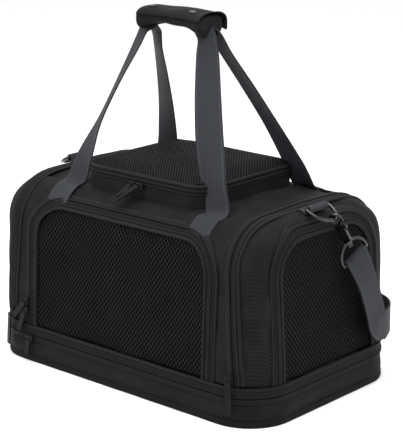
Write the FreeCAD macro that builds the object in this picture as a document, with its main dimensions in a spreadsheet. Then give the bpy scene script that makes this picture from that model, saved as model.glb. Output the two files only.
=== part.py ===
import FreeCAD, Part
import Sketcher
import math
import os

# Soft-sided pet carrier bag, millimetres, +Z up.
# The origin is the middle of the flat bottom, X runs along the bag and -Y is its front.
# A shallow zip-off base tray carries a tunnel-shaped hood.  The hood has a mesh door in
# front, one in the top and one in each end, and a carrying loop each side of the top door.

V = FreeCAD.Vector
doc = FreeCAD.newDocument("pet_carrier_bag")

# ---------------------------------------------------------------- driving sizes
SIZES = [
    ("body_length", 500, "base tray, end to end"),
    ("body_depth", 310, "base tray, front to back"),
    ("base_corner", 64, "plan radius of the tray's corners"),
    ("base_band_top", 31, "top of the tray's fabric band"),
    ("base_wall", 4, "padded tray wall"),
    ("base_floor", 4, "tray bottom"),
    ("binding_height", 9, "edge binding round the bottom"),
    ("binding_proud", 1.2, "how far the binding stands off the band"),
    ("board_thick", 3, "stiff floor board"),
    ("board_play", 2, "board to tray wall"),
    ("cushion_thick", 16, "floor cushion"),
    ("cushion_play", 8, "cushion to hood wall"),
    ("zip_half", 8.6, "one zip half: tape and half of the coil"),
    ("zip_thick", 3.2, "zip tape and coil"),
    ("zip_proud", 1.0, "how far the coil stands off the fabric"),
    ("zip_gap", 0.5, "running gap between two zip halves"),
    ("piping_wide", 5, "fabric-covered piping"),
    ("piping_proud", 2.6, "how far piping stands off the fabric"),
    ("hood_inset", 2, "hood foot inside the tray outline"),
    ("hood_height", 270, "crown of the hood"),
    ("hood_leg_lean", 3.6, "lean of the front and back walls, degrees"),
    ("hood_crown_fall", 3.0, "fall of the crown towards the shoulders, degrees"),
    ("hood_shoulder", 74, "shoulder radius"),
    ("hood_end_lean", 4.2, "lean of the end walls, degrees"),
    ("hood_end_round", 44, "radius where an end wall meets the top"),
    ("hood_wall", 4, "padded fabric wall"),
    ("arch_inset", 31, "arch piping from the end of the bag, at the foot of the hood"),
    ("front_side", 64, "arch piping to the side of the front mesh"),
    ("front_drop", 46, "crown to the top of the front mesh"),
    ("front_round", 44, "top corners of the front mesh"),
    ("end_side", 63, "side of the bag to the side of the end mesh"),
    ("end_drop", 38, "crown to the top of the end mesh"),
    ("end_round", 46, "top corners of the end mesh"),
    ("mesh_thick", 3, "spacer mesh"),
    ("top_half_length", 114, "top collar, half of its length"),
    ("top_side", 56, "side of the bag to the side of the top collar"),
    ("top_round", 34, "plan corners of the top collar"),
    ("collar_rise", 5, "crown to the top edge of the collar's fabric band"),
    ("dome_rise", 8, "crown of the top mesh over its piping"),
    ("webbing", 38, "webbing width"),
    ("webbing_thick", 2.2, "webbing thickness"),
    ("handle_spread", 129, "middle of a handle leg at its foot, from the middle"),
    ("handle_reach", 57, "middle of a handle leg at the grip, from the middle of the grip"),
    ("grip_shift", 14, "middle of the grip, left of the middle of the bag"),
    ("handle_rise", 224, "crown to the top of the webbing inside the grip wrap"),
    ("handle_split", 5, "gap between the two loops at the grip"),
    ("wrap_length", 128, "grip wrap"),
    ("wrap_wall", 5, "padded wall of the grip wrap"),
    ("anchor_low", 48, "crown to the lower edge of a handle's sewn end"),
    ("anchor_high", 16, "crown to the upper edge of a handle's sewn end"),
    ("ring_inset", 11, "bar of a D-ring inboard of the end wall's top"),
    ("ring_wire", 4.6, "D-ring wire"),
    ("ring_drop", 28, "D-ring, bar to bow"),
    ("hook_wire", 4.4, "snap hook nose"),
    ("hook_body", 13, "snap hook body, thickness"),
    ("hook_length", 30, "snap hook body, length"),
    ("eye_drop", 26, "swivel eye, post to bar"),
    ("strap_clear", 12.5, "shoulder strap to hood wall"),
]
sheet = doc.addObject("Spreadsheet::Sheet", "Sizes")
for row, (alias, number, meaning) in enumerate(SIZES, start=1):
    sheet.set("A%d" % row, meaning)
    sheet.set("B%d" % row, str(number))
    sheet.setAlias("B%d" % row, alias)
doc.recompute()


def size(alias):
    return float(sheet.get(alias))


half_length = size("body_length") / 2
half_depth = size("body_depth") / 2
base_corner = size("base_corner")
zip_half = size("zip_half")
zip_gap = size("zip_gap")
zip_proud = size("zip_proud")
zip_back = size("zip_thick") - zip_proud
piping = size("piping_wide")
piping_proud = size("piping_proud")
wall = size("hood_wall")
webbing = size("webbing")
webbing_thick = size("webbing_thick")
band_top = size("base_band_top")
base_split = band_top + zip_half
rim_low = base_split + zip_gap + zip_half
hood_foot = rim_low + piping
FAR = 900.0                       # beyond the bag in every direction
TOUCH = 0.5                       # clearance between pieces that move past each other

nodes = []


def add_shape(label, shape):
    """A sub-part whose shape is worked out from the sheet's sizes."""
    feature = doc.addObject("Part::Feature", label)
    feature.Label = label
    feature.Shape = shape
    feature.Placement = shape.Placement
    nodes.append(feature)
    return feature


# ---------------------------------------------------------------- outlines and prisms
def rounded_wire(corners, radii, place):
    """A closed wire through 2-D corners, each rounded by its own radius."""
    starts = []
    middles = []
    ends = []
    count = len(corners)
    for index in range(count):
        before = V(*corners[index - 1], 0)
        corner = V(*corners[index], 0)
        after = V(*corners[(index + 1) % count], 0)
        to_before = (before - corner).normalize()
        to_after = (after - corner).normalize()
        half = to_before.getAngle(to_after) / 2
        radius = radii[index]
        starts.append(corner + to_before * (radius / math.tan(half)))
        ends.append(corner + to_after * (radius / math.tan(half)))
        bisector = (to_before + to_after).normalize()
        middles.append(corner + bisector * (radius / math.sin(half) - radius))
    edges = []
    for index in range(count):
        if radii[index] > 0:
            arc = [place(p.x, p.y) for p in (starts[index], middles[index], ends[index])]
            edges.append(Part.Arc(*arc).toShape())
        first = place(ends[index].x, ends[index].y)
        following = starts[(index + 1) % count]
        second = place(following.x, following.y)
        if first.distanceToPoint(second) > 1e-6:
            edges.append(Part.makeLine(first, second))
    return Part.Wire(edges)


def inset_corners(corners, inset):
    """Corners of a convex anticlockwise outline, moved in by one distance all round."""
    count = len(corners)
    moved = []
    for index in range(count):
        lines = []
        for first, second in ((index - 1, index), (index, (index + 1) % count)):
            (u1, v1), (u2, v2) = corners[first], corners[second]
            run = math.hypot(u2 - u1, v2 - v1)
            normal_u = -(v2 - v1) / run
            normal_v = (u2 - u1) / run
            lines.append((normal_u, normal_v, normal_u * u1 + normal_v * v1 + inset))
        (a, b, c), (d, e, f) = lines
        det = a * e - b * d
        moved.append(((c * e - b * f) / det, (a * f - c * d) / det))
    return moved


def prism(wire, direction):
    return Part.Face(wire).extrude(direction)


def plan_prism(half_x, half_y, corner, low, high):
    corners = [(-half_x, -half_y), (half_x, -half_y), (half_x, half_y), (-half_x, half_y)]
    wire = rounded_wire(corners, [corner] * 4, lambda u, v: V(u, v, low))
    return prism(wire, V(0, 0, high - low))


def box(x0, x1, y0, y1, z0, z1):
    return Part.makeBox(x1 - x0, y1 - y0, z1 - z0, V(x0, y0, z0))


def mirrored(shape, normal):
    return shape.mirror(V(0, 0, 0), normal)


def base_prism(inset, low, high):
    return plan_prism(half_length - inset, half_depth - inset, base_corner - inset, low, high)


# ---------------------------------------------------------------- base tray
def plane_of(body, role):
    for feature in body.Origin.OriginFeatures:
        if feature.Role == role:
            return feature
    raise RuntimeError("no plane %s" % role)


def rounded_rectangle(sketch, half_x, half_y, corner, expressions):
    """A centred rounded rectangle bound to expressions for half length, half depth, radius."""
    lines = [((-half_x + corner, -half_y), (half_x - corner, -half_y)),
             ((half_x, -half_y + corner), (half_x, half_y - corner)),
             ((half_x - corner, half_y), (-half_x + corner, half_y)),
             ((-half_x, half_y - corner), (-half_x, -half_y + corner))]
    centres = [(half_x - corner, -half_y + corner, -90), (half_x - corner, half_y - corner, 0),
               (-half_x + corner, half_y - corner, 90),
               (-half_x + corner, -half_y + corner, 180)]
    for first, second in lines:
        sketch.addGeometry(Part.LineSegment(V(*first, 0), V(*second, 0)), False)
    for u, v, angle in centres:
        circle = Part.Circle(V(u, v, 0), V(0, 0, 1), corner)
        arc = Part.ArcOfCircle(circle, math.radians(angle), math.radians(angle + 90))
        sketch.addGeometry(arc, False)
    for side in range(4):
        arc = 4 + side
        sketch.addConstraint(Sketcher.Constraint("Tangent", side, 2, arc, 1))
        sketch.addConstraint(Sketcher.Constraint("Tangent", arc, 2, (side + 1) % 4, 1))
    for side, kind in enumerate(("Horizontal", "Vertical", "Horizontal", "Vertical")):
        sketch.addConstraint(Sketcher.Constraint(kind, side))
    for arc in (5, 6, 7):
        sketch.addConstraint(Sketcher.Constraint("Equal", 4, arc))
    sizes = [
        (Sketcher.Constraint("Radius", 4, corner), expressions[2]),
        (Sketcher.Constraint("DistanceX", -1, 1, 1, 1, half_x), expressions[0]),
        (Sketcher.Constraint("DistanceX", 3, 1, -1, 1, half_x), expressions[0]),
        (Sketcher.Constraint("DistanceY", 0, 1, -1, 1, half_y), expressions[1]),
        (Sketcher.Constraint("DistanceY", -1, 1, 2, 1, half_y), expressions[1]),
    ]
    for constraint, expression in sizes:
        index = sketch.addConstraint(constraint)
        sketch.setExpression("Constraints[%d]" % index, expression)


def plan_sketch(body, name, inset_names):
    """The tray's plan outline, inset by a sum of named sizes, on the body's XY plane."""
    sketch = body.newObject("Sketcher::SketchObject", name)
    sketch.AttachmentSupport = (plane_of(body, "XY_Plane"), "")
    sketch.MapMode = "FlatFace"
    inset = sum(size(alias) for alias in inset_names)
    text = " - ".join(["%s"] + ["Sizes." + alias for alias in inset_names])
    rounded_rectangle(sketch, half_length - inset, half_depth - inset, base_corner - inset,
                      [text % "Sizes.body_length / 2", text % "Sizes.body_depth / 2",
                       text % "Sizes.base_corner"])
    return sketch


def plan_body(label, outer_insets, height, low, pocket_insets=None, pocket_depth=None):
    """A plate or tray: the plan outline padded by height, hollowed from above if asked."""
    body = doc.addObject("PartDesign::Body", label)
    body.Label = label
    pad = body.newObject("PartDesign::Pad", label + "_pad")
    pad.Profile = plan_sketch(body, label + "_outline", outer_insets)
    pad.setExpression("Length", height)
    if pocket_insets is not None:
        doc.recompute()
        hollow = plan_sketch(body, label + "_hollow", pocket_insets)
        hollow.AttachmentOffset = FreeCAD.Placement(V(0, 0, size("base_floor")),
                                                    FreeCAD.Rotation())
        hollow.setExpression("AttachmentOffset.Base.z", pocket_depth)
        before = pad.Shape.Volume
        pocket = body.newObject("PartDesign::Pocket", label + "_pocket")
        pocket.Profile = hollow
        pocket.Type = "ThroughAll"
        pocket.Reversed = True
        doc.recompute()
        if pocket.Shape.Volume > 0.9 * before:
            raise RuntimeError("the hollow of %s cut nothing" % label)
    body.setExpression("Placement.Base.z", low)
    nodes.append(body)
    return body


plan_body("base_tray", ["binding_proud"], "Sizes.base_band_top", "0",
          ["binding_proud", "base_wall"], "Sizes.base_floor")
plan_body("floor_board", ["binding_proud", "base_wall", "board_play"], "Sizes.board_thick",
          "Sizes.base_floor")
cushion = plan_body("floor_cushion", ["binding_proud", "base_wall", "cushion_play"],
                    "Sizes.cushion_thick", "Sizes.base_floor + Sizes.board_thick")
doc.recompute()
cushion_pad = cushion.Tip
cushion_top = max(range(len(cushion_pad.Shape.Faces)),
                  key=lambda index: cushion_pad.Shape.Faces[index].CenterOfMass.z)
cushion_edge = cushion.newObject("PartDesign::Fillet", "floor_cushion_edge")
cushion_edge.Base = (cushion_pad, ["Face%d" % (cushion_top + 1)])
cushion_edge.setExpression("Radius", "Sizes.cushion_thick * 0.45")

binding_proud = size("binding_proud")
add_shape("base_binding", base_prism(0, 0, size("binding_height")).cut(
    base_prism(binding_proud, -1, FAR)))

zip_face = binding_proud - zip_proud


def base_ring(outer, inner, low, high):
    return base_prism(outer, low, high).cut(base_prism(inner, low - 1, high + 1))


add_shape("base_zip_lower_half", base_ring(
    zip_face, zip_face + size("zip_thick"), band_top, base_split))
add_shape("base_zip_upper_half", base_ring(
    zip_face, zip_face + size("zip_thick"), base_split + zip_gap, rim_low))
add_shape("hood_rim_piping", base_ring(
    0, binding_proud + size("base_wall"), rim_low, hood_foot))


# ---------------------------------------------------------------- hood form
# The hood is an arch drawn in the YZ plane, run along the bag, trimmed by the leaning ends
# in the XZ plane and by the rounded corners in plan.  Every panel, tape and piping is a
# slice between two insets of this one form.
hood_half_depth = half_depth - size("hood_inset")
hood_half_length = half_length - size("hood_inset")
leg_run = math.tan(math.radians(size("hood_leg_lean")))
end_run = math.tan(math.radians(size("hood_end_lean")))
crown_run = math.tan(math.radians(size("hood_crown_fall")))
crown = size("hood_height")
arch_foot = half_length - size("arch_inset")
front_half = arch_foot - size("front_side")
front_top = crown - size("front_drop")
end_half = half_depth - size("end_side")
end_top = crown - size("end_drop")


def leg_reach(z):
    """Half depth of the straight wall at a height."""
    return hood_half_depth - leg_run * (z - hood_foot)


def end_reach(z):
    """Half length of the straight end wall at a height."""
    return hood_half_length - end_run * (z - hood_foot)


def arch_corners():
    shoulder = crown
    for _ in range(30):
        shoulder = crown - crown_run * leg_reach(shoulder)
    return [(-leg_reach(0), 0), (leg_reach(0), 0), (leg_reach(shoulder), shoulder),
            (0, crown), (-leg_reach(shoulder), shoulder)]


def end_corners():
    return [(-end_reach(0), 0), (end_reach(0), 0), (end_reach(crown), crown),
            (-end_reach(crown), crown)]


def open_bottom(corners):
    """Runs the two lowest corners well below the hood, along their leaning sides."""
    (u0, v0), (u1, v1), (u2, v2), (u3, v3) = corners[0], corners[1], corners[2], corners[-1]
    deep = -100.0
    left = u0 + (u0 - u3) / (v0 - v3) * (deep - v0)
    right = u1 + (u1 - u2) / (v1 - v2) * (deep - v1)
    return [(left, deep), (right, deep)] + list(corners[2:])


form_cache = {}


def form(inset):
    if inset not in form_cache:
        arch = inset_corners(open_bottom(arch_corners()), inset)
        crown_radius = 600.0
        arch_radii = [0, 0, size("hood_shoulder") - inset, crown_radius - inset,
                      size("hood_shoulder") - inset]
        tunnel = prism(rounded_wire(arch, arch_radii, lambda u, v: V(-FAR, u, v)),
                       V(2 * FAR, 0, 0))
        side = inset_corners(open_bottom(end_corners()), inset)
        side_radii = [0, 0, size("hood_end_round") - inset, size("hood_end_round") - inset]
        ends = prism(rounded_wire(side, side_radii, lambda u, v: V(u, FAR, v)),
                     V(0, -2 * FAR, 0))
        corner = base_corner - size("hood_inset") - inset
        plan = plan_prism(hood_half_length - inset, hood_half_depth - inset, corner,
                          -FAR, FAR)
        form_cache[inset] = tunnel.common(ends).common(plan)
    return form_cache[inset]


def skin(outer, inner):
    """The hood's skin between two insets; a negative inset stands proud of the fabric."""
    return form(outer).cut(form(inner))


FABRIC = (0, wall)
TAPE = (-zip_proud, zip_back)
PIPING = (-piping_proud, wall)
MESH = (0.5, 0.5 + size("mesh_thick"))


def above(z):
    return box(-FAR, FAR, -FAR, FAR, z, FAR)


# ---------------------------------------------------------------- seams of the hood
seam_run = end_run


def between_seams(offset):
    """Space between the two arch seams, each moved inboard by offset."""
    low_x = arch_foot - offset + seam_run * (hood_foot + FAR)
    high_x = arch_foot - offset - seam_run * (FAR - hood_foot)
    corners = [(-low_x, -FAR), (low_x, -FAR), (high_x, FAR), (-high_x, FAR)]
    wire = rounded_wire(corners, [0] * 4, lambda u, v: V(u, FAR, v))
    return prism(wire, V(0, -2 * FAR, 0))


half_piping = piping / 2
tape_edge = half_piping + 2 * zip_half + zip_gap
arch_split = half_piping + zip_half
top_x = size("top_half_length")
top_y = half_depth - size("top_side")
top_round = size("top_round")

FRONT_TILT = 14.0                 # the front door swings out: its edges are cut rising outwards
END_TILT = 0.0                    # the end doors fold in: their edges are cut level
door_foot = hood_foot + TOUCH
front_ref = -leg_reach(front_top) * 0.86
end_ref = end_reach(end_top)


def arched_outline(half_width, foot, top, corner, spread, place):
    """A door outline: straight foot, two rounded top corners, grown by spread."""
    corners = [(-half_width - spread, foot), (half_width + spread, foot),
               (half_width + spread, top + spread), (-half_width - spread, top + spread)]
    radius = corner + spread
    return rounded_wire(corners, [0, 0, radius, radius], place)


def front_prism(spread):
    rise = math.tan(math.radians(FRONT_TILT))
    depth = 160.0
    near = front_ref + depth
    place = lambda u, v: V(u, near, v - rise * depth)
    foot = door_foot - rise * (leg_reach(hood_foot) + front_ref)
    wire = arched_outline(front_half, foot, front_top,
                          size("front_round"), spread, place)
    return prism(wire, V(0, -2 * depth, 2 * rise * depth)).common(above(door_foot))


def end_prism(spread):
    rise = math.tan(math.radians(END_TILT))
    depth = 110.0
    near = end_ref - depth
    place = lambda u, v: V(near, u, v - rise * depth)
    foot = door_foot - rise * (hood_half_length - end_ref) - 2
    wire = arched_outline(end_half, foot, end_top,
                          size("end_round"), spread, place)
    return prism(wire, V(2 * depth, 0, 2 * rise * depth)).common(above(door_foot))


def top_prism(spread, low, high):
    return plan_prism(top_x + spread, top_y + spread, top_round + spread, low, high)


EDGE_PIPING = piping
EDGE_SPLIT = piping + zip_half
EDGE_OUTER = piping + 2 * zip_half + zip_gap


def band(slice_depths, make_prism, outer, inner):
    """A strip that follows a door's outline on the hood's skin."""
    return skin(*slice_depths).common(make_prism(outer).cut(make_prism(inner)))


# ---------------------------------------------------------------- hood panels
middle = skin(*FABRIC).common(above(hood_foot)).common(between_seams(tape_edge))
top_hole = top_prism(-wall, 0, FAR)
front_side = box(-FAR, FAR, -FAR, -top_y - 2, -FAR, FAR)
back_side = mirrored(front_side, V(0, 1, 0))
add_shape("front_panel", middle.common(front_side).cut(front_prism(EDGE_OUTER)))
add_shape("back_panel", middle.common(back_side))
add_shape("top_panel", middle.cut(front_side).cut(back_side).cut(top_hole))

collar_top = crown + size("collar_rise")
collar_ring = top_prism(0, crown - 40, collar_top).cut(top_prism(-wall, 0, FAR))
add_shape("top_collar", collar_ring.cut(form(0)))
collar_split = collar_top + zip_half / 2
tape_in = size("zip_thick") - zip_proud
add_shape("top_collar_zip_half", top_prism(zip_proud, collar_top, collar_split).cut(
    top_prism(-tape_in, 0, FAR)))

hood_tape = between_seams(arch_split + zip_gap).cut(between_seams(tape_edge))
add_shape("arch_zip_hood_halves", skin(*TAPE).common(above(hood_foot)).common(hood_tape))

add_shape("front_panel_zip_half", band(
    TAPE, front_prism, EDGE_OUTER, EDGE_SPLIT + zip_gap).common(above(door_foot)))


# ---------------------------------------------------------------- front door
add_shape("front_door_mesh", skin(*MESH).common(front_prism(0)))
add_shape("front_door_piping", band(PIPING, front_prism, EDGE_PIPING, 0))
add_shape("front_door_zip_half", band(TAPE, front_prism, EDGE_SPLIT, EDGE_PIPING))

# ---------------------------------------------------------------- top door
door_low = collar_split + zip_gap
door_high = door_low + zip_half / 2
pipe_high = door_high + piping
add_shape("top_door_zip_half", top_prism(zip_proud, door_low, door_high).cut(
    top_prism(-tape_in, 0, FAR)))
add_shape("top_door_piping", top_prism(zip_proud, door_high, pipe_high).cut(
    top_prism(-piping, 0, FAR)))
mesh_plate = top_prism(-piping, door_high, pipe_high + size("dome_rise"))
soft_edges = [edge for edge in mesh_plate.Edges
              if edge.BoundBox.ZMin > pipe_high + size("dome_rise") - 0.01]
add_shape("top_door_mesh", mesh_plate.makeFillet(size("dome_rise"), soft_edges))

# ---------------------------------------------------------------- ends
right_side = box(0, FAR, -FAR, FAR, -FAR, FAR)
beyond = right_side.common(above(door_foot))
arch_seam = between_seams(-half_piping).cut(between_seams(half_piping))
end_tape = between_seams(half_piping).cut(between_seams(arch_split))
end_shapes = {
    "arch_piping": skin(*PIPING).common(arch_seam).common(beyond),
    "arch_zip_end_half": skin(*TAPE).common(end_tape).common(beyond),
    "end_panel": skin(*FABRIC).common(beyond).cut(between_seams(-half_piping)).cut(
        end_prism(EDGE_OUTER)),
    "end_panel_zip_half": band(TAPE, end_prism, EDGE_OUTER, EDGE_SPLIT + zip_gap),
    "end_door_zip_half": band(TAPE, end_prism, EDGE_SPLIT, EDGE_PIPING),
    "end_door_piping": band(PIPING, end_prism, EDGE_PIPING, 0),
    "end_door_mesh": skin(*MESH).common(end_prism(0)),
}

# ---------------------------------------------------------------- strap hardware
def surface_point(inset, x=None, y=None, z=None):
    """The point of the hood's right, front half at two given coordinates."""
    thin = 0.02
    shape = form(inset)
    if x is None:
        return V(shape.common(box(0, FAR, y - thin, y + thin, z - thin, z + thin))
                 .BoundBox.XMax, y, z)
    if y is None:
        return V(x, shape.common(box(x - thin, x + thin, -FAR, 0, z - thin, z + thin))
                 .BoundBox.YMin, z)
    return V(x, y, shape.common(box(x - thin, x + thin, y - thin, y + thin, 0, FAR))
             .BoundBox.ZMax)


def frame_at(origin, along, outward):
    """A placement whose X runs along, whose Z points outward and whose Y completes them."""
    side = outward.cross(along).normalize()
    outward = along.cross(side).normalize()
    along = V(along).normalize()
    return FreeCAD.Placement(FreeCAD.Matrix(along.x, side.x, outward.x, origin.x,
                                            along.y, side.y, outward.y, origin.y,
                                            along.z, side.z, outward.z, origin.z,
                                            0, 0, 0, 1))


def placed(shape, placement):
    copy = shape.copy()
    copy.Placement = placement.multiply(copy.Placement)
    return copy


half_web = webbing / 2
ring_wire = size("ring_wire")
ring_x = end_reach(crown) - size("ring_inset")
bar_clear = 0.3
tab_low_x = arch_foot - seam_run * (crown - hood_foot) + half_piping
tab_face = surface_point(-webbing_thick, x=ring_x, y=0).z
bar_z = tab_face + ring_wire / 2 + bar_clear
tab_flat = form(-webbing_thick).cut(form(0)).common(
    box(tab_low_x + 1, ring_x + 1, -half_web, half_web, crown - 70, FAR))
loop_radius = ring_wire / 2 + bar_clear
tab_loop = Part.makeCylinder(loop_radius + webbing_thick, webbing,
                             V(ring_x, -half_web, bar_z), V(0, 1, 0))
tab_hole = Part.makeCylinder(loop_radius, webbing + 2, V(ring_x, -half_web - 1, bar_z),
                             V(0, 1, 0))
end_shapes["ring_tab"] = tab_flat.fuse(tab_loop.cut(form(-zip_proud - TOUCH))).cut(tab_hole)

RING_HANG = math.radians(62)      # the D-ring lies out over the end by this angle
bar_half = half_web + ring_wire / 2 + 0.6
ring_corner = 6.0
ring_plane = frame_at(V(ring_x, 0, bar_z), V(0, -1, 0),
                      V(math.cos(RING_HANG), 0, math.sin(RING_HANG)))


def bow_wire(half_width, corner, drop):
    """A D in the XY plane: its bar on X, its bow towards +Y."""
    return Part.Wire([
        Part.makeLine(V(-half_width, 0, 0), V(half_width, 0, 0)),
        Part.makeLine(V(half_width, 0, 0), V(half_width, corner, 0)),
        Part.Arc(V(half_width, corner, 0), V(0, drop, 0), V(-half_width, corner, 0)).toShape(),
        Part.makeLine(V(-half_width, corner, 0), V(-half_width, 0, 0))])


def round_bar(path, start, direction, diameter):
    section = Part.Wire(Part.makeCircle(diameter / 2, start, direction))
    return path.makePipeShell([section], True, True, 2)


def d_shape(half_width, corner, drop, wire):
    return round_bar(bow_wire(half_width, corner, drop), V(0, 0, 0), V(1, 0, 0), wire)


ring_flat = d_shape(bar_half, ring_corner, size("ring_drop"), ring_wire)
end_shapes["d_ring"] = placed(ring_flat, ring_plane)

# The snap hook is drawn with the middle of its nose at the origin and its body down -Z.
hook_wire = size("hook_wire")
hook_body = size("hook_body")
hook_length = size("hook_length")
NOSE_RADIUS = 7.5
POST_RADIUS = 2.6
post_length = 8.0
nose = Part.makeTorus(NOSE_RADIUS, hook_wire / 2, V(0, 0, 0), V(0, 1, 0))
mouth_low = -NOSE_RADIUS * 0.55
mouth_high = NOSE_RADIUS * 0.35
mouth = box(0, 30, -10, 10, mouth_low, mouth_high)
shank_top = -NOSE_RADIUS
shank_low = shank_top - hook_length
shank = box(-hook_body / 2, hook_body / 2, -hook_wire / 2 - 0.4, hook_wire / 2 + 0.4,
            shank_low, shank_top)
shank = shank.makeFillet(2.4, [e for e in shank.Edges if abs(e.tangentAt(0).z) < 0.5])
post = Part.makeCylinder(POST_RADIUS, post_length, V(0, 0, shank_low - post_length))
post_head = Part.makeCylinder(POST_RADIUS + 1.6, 2.4,
                              V(0, 0, shank_low - post_length - 2.4))

# The gate is a flat bolt: its bar closes the mouth, its stem runs down a slot in the shank
# and its thumb stud stands out beside the shank.
GATE_TRAVEL = 5.0
GATE_CLEAR = 0.3
gate_half = 1.25
gate_x = NOSE_RADIUS
gate_out = gate_x + 1.6
stem_in = gate_x - 4.65
stem_out = gate_x - 2.15
stem_low = shank_top - 8
gate_low = mouth_low + GATE_CLEAR
gate_bar = box(gate_x - 1.6, gate_out, -gate_half, gate_half, gate_low, mouth_high - GATE_CLEAR)
gate_arm = box(stem_in, gate_out, -gate_half, gate_half, gate_low, gate_low + 2)
gate_stem = box(stem_in, stem_out, -gate_half, gate_half, stem_low, gate_low + 2)
thumb_in = hook_body / 2 + GATE_CLEAR
thumb_neck = box(stem_in, thumb_in + 1, -gate_half, gate_half, stem_low, stem_low + 3)
thumb = Part.makeCylinder(2.4, 3, V(thumb_in, 0, stem_low + 1.5), V(1, 0, 0))
gate_shape = gate_stem.fuse([gate_arm, gate_bar, thumb_neck, thumb]).removeSplitter()
gate_slot = box(stem_in - GATE_CLEAR, 30, -gate_half - GATE_CLEAR, gate_half + GATE_CLEAR,
                stem_low - GATE_TRAVEL - GATE_CLEAR, gate_low + 2 + GATE_CLEAR)
hook_shape = nose.cut(mouth).fuse(shank).fuse(post).fuse(post_head).cut(gate_slot)
hook_shape = hook_shape.removeSplitter()

eye_bar_half = half_web + hook_wire / 2 + 1
eye_drop = size("eye_drop")
collar_clear = 0.05
collar_high = shank_low - 0.8
collar_low = collar_high - post_length + 2.2
collar = Part.makeCylinder(POST_RADIUS + 2.4, collar_high - collar_low, V(0, 0, collar_low))
eye_side = eye_drop - eye_bar_half
bow_middle = V(0, eye_side, 0)
eye_flat = Part.makeTorus(eye_bar_half, hook_wire / 2, bow_middle, V(0, 0, 1), -180, 180, 180)
eye_bits = []
for x in (-eye_bar_half, eye_bar_half):
    eye_bits.append(Part.makeCylinder(hook_wire / 2, eye_side, V(x, 0, 0), V(0, 1, 0)))
    eye_bits.append(Part.makeSphere(hook_wire / 2, V(x, 0, 0)))
eye_bits.append(Part.makeCylinder(hook_wire / 2, 2 * eye_bar_half, V(-eye_bar_half, 0, 0),
                                  V(1, 0, 0)))
eye_flat = eye_flat.fuse(eye_bits).removeSplitter()
EYE_SEAT = 3.0                    # collar's lower end to the middle of the bow it carries
eye_bar_z = collar_low + EYE_SEAT - eye_drop
eye_turn = FreeCAD.Placement(V(0, 0, eye_bar_z), FreeCAD.Rotation(V(1, 0, 0), 90))
eye_bow = placed(eye_flat, eye_turn)
eye_hole = Part.makeCylinder(POST_RADIUS + collar_clear, 30, V(0, 0, collar_low - 6))
head_room = Part.makeCylinder(POST_RADIUS + 2.2, 6, V(0, 0, collar_low - 6.0))
eye_shape = eye_bow.fuse(collar).cut(eye_hole).cut(head_room).removeSplitter()

HOOK_SIDE = -9.0                  # along the D-ring's bow, towards the back of the bag
HOOK_SWING = math.radians(32)     # the strap pulls the hook towards the back of the bag
HOOK_OUT = 0.09                   # and a little away from the end wall
bow_point = ring_plane.multVec(V(HOOK_SIDE, size("ring_drop") - 1.6, 0))
hook_down = V(HOOK_OUT, math.sin(HOOK_SWING), -math.cos(HOOK_SWING)).normalize()
wire_run = ring_plane.Rotation.multVec(V(-1, -0.28, 0)).normalize()
hook_up = hook_down * -1
hook_side = wire_run.cross(hook_up).normalize()
nose_offset = NOSE_RADIUS - hook_wire / 2 - ring_wire / 2 - bar_clear
hook_origin = bow_point + hook_down * nose_offset
hook_normal = hook_up.cross(hook_side).normalize()
hook_frame = FreeCAD.Placement(FreeCAD.Matrix(
    hook_side.x, hook_normal.x, hook_up.x, hook_origin.x,
    hook_side.y, hook_normal.y, hook_up.y, hook_origin.y,
    hook_side.z, hook_normal.z, hook_up.z, hook_origin.z, 0, 0, 0, 1))
end_shapes["snap_hook"] = placed(hook_shape, hook_frame)
end_shapes["snap_gate"] = placed(gate_shape, hook_frame)
EYE_TURN = math.radians(62)       # the swivel turns the eye so that its bar lies along the wall
eye_spin = FreeCAD.Placement(V(0, 0, 0), FreeCAD.Rotation(V(0, 0, 1), math.degrees(EYE_TURN)))
eye_frame = hook_frame.multiply(eye_spin)
end_shapes["swivel_eye"] = placed(eye_shape, eye_frame)
eye_bar = eye_frame.multVec(V(0, 0, eye_bar_z))

# ---------------------------------------------------------------- shoulder strap
strap_clear = size("strap_clear")
STRAP_LOW = 66.0                  # lower edge of the strap where it rounds a back corner
strap_inner = plan_prism(hood_half_length + strap_clear, hood_half_depth + strap_clear,
                         base_corner + strap_clear, -FAR, FAR)
strap_outer = plan_prism(hood_half_length + strap_clear + webbing_thick,
                         hood_half_depth + strap_clear + webbing_thick,
                         base_corner + strap_clear + webbing_thick, -FAR, FAR)
strap_ring = strap_outer.cut(strap_inner)
corner_y = hood_half_depth - base_corner
back_corners = [(-FAR, STRAP_LOW), (FAR, STRAP_LOW), (FAR, STRAP_LOW + webbing),
                (-FAR, STRAP_LOW + webbing)]
back_slab = prism(rounded_wire(back_corners, [0] * 4, lambda u, v: V(u, FAR, v)),
                  V(0, -FAR + corner_y, 0))
add_shape("shoulder_strap", strap_ring.common(back_slab))
# Each strap end runs in the strap's plane from the corner, then turns in to the eye and is
# sewn round its bar.
STRAP_TURN_IN = 0.35              # share of the way from the eye where it leaves the plane
LOOP_CLEAR = 0.4                  # eye's bar to the webbing sewn round it
TURNED_IN_SHARE = 0.5             # length of the turned-in part before it is trimmed
lean = V(0, corner_y - eye_bar.y, STRAP_LOW + half_web - eye_bar.z)
across = V(0, -lean.z, lean.y).normalize()
strap_mid = hood_half_length + strap_clear + webbing_thick / 2
turn_in = V(strap_mid, eye_bar.y, eye_bar.z) + lean * STRAP_TURN_IN
end_corners_yz = [(turn_in.y - across.y * half_web, turn_in.z - across.z * half_web),
                  (corner_y, STRAP_LOW), (corner_y, STRAP_LOW + webbing),
                  (turn_in.y + across.y * half_web, turn_in.z + across.z * half_web)]
end_slab = prism(rounded_wire(end_corners_yz, [0] * 4, lambda u, v: V(0, u, v)), V(FAR, 0, 0))
loop_in = hook_wire / 2 + LOOP_CLEAR
loop_out = loop_in + webbing_thick
bar_line = eye_frame.Rotation.multVec(V(1, 0, 0))
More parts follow.
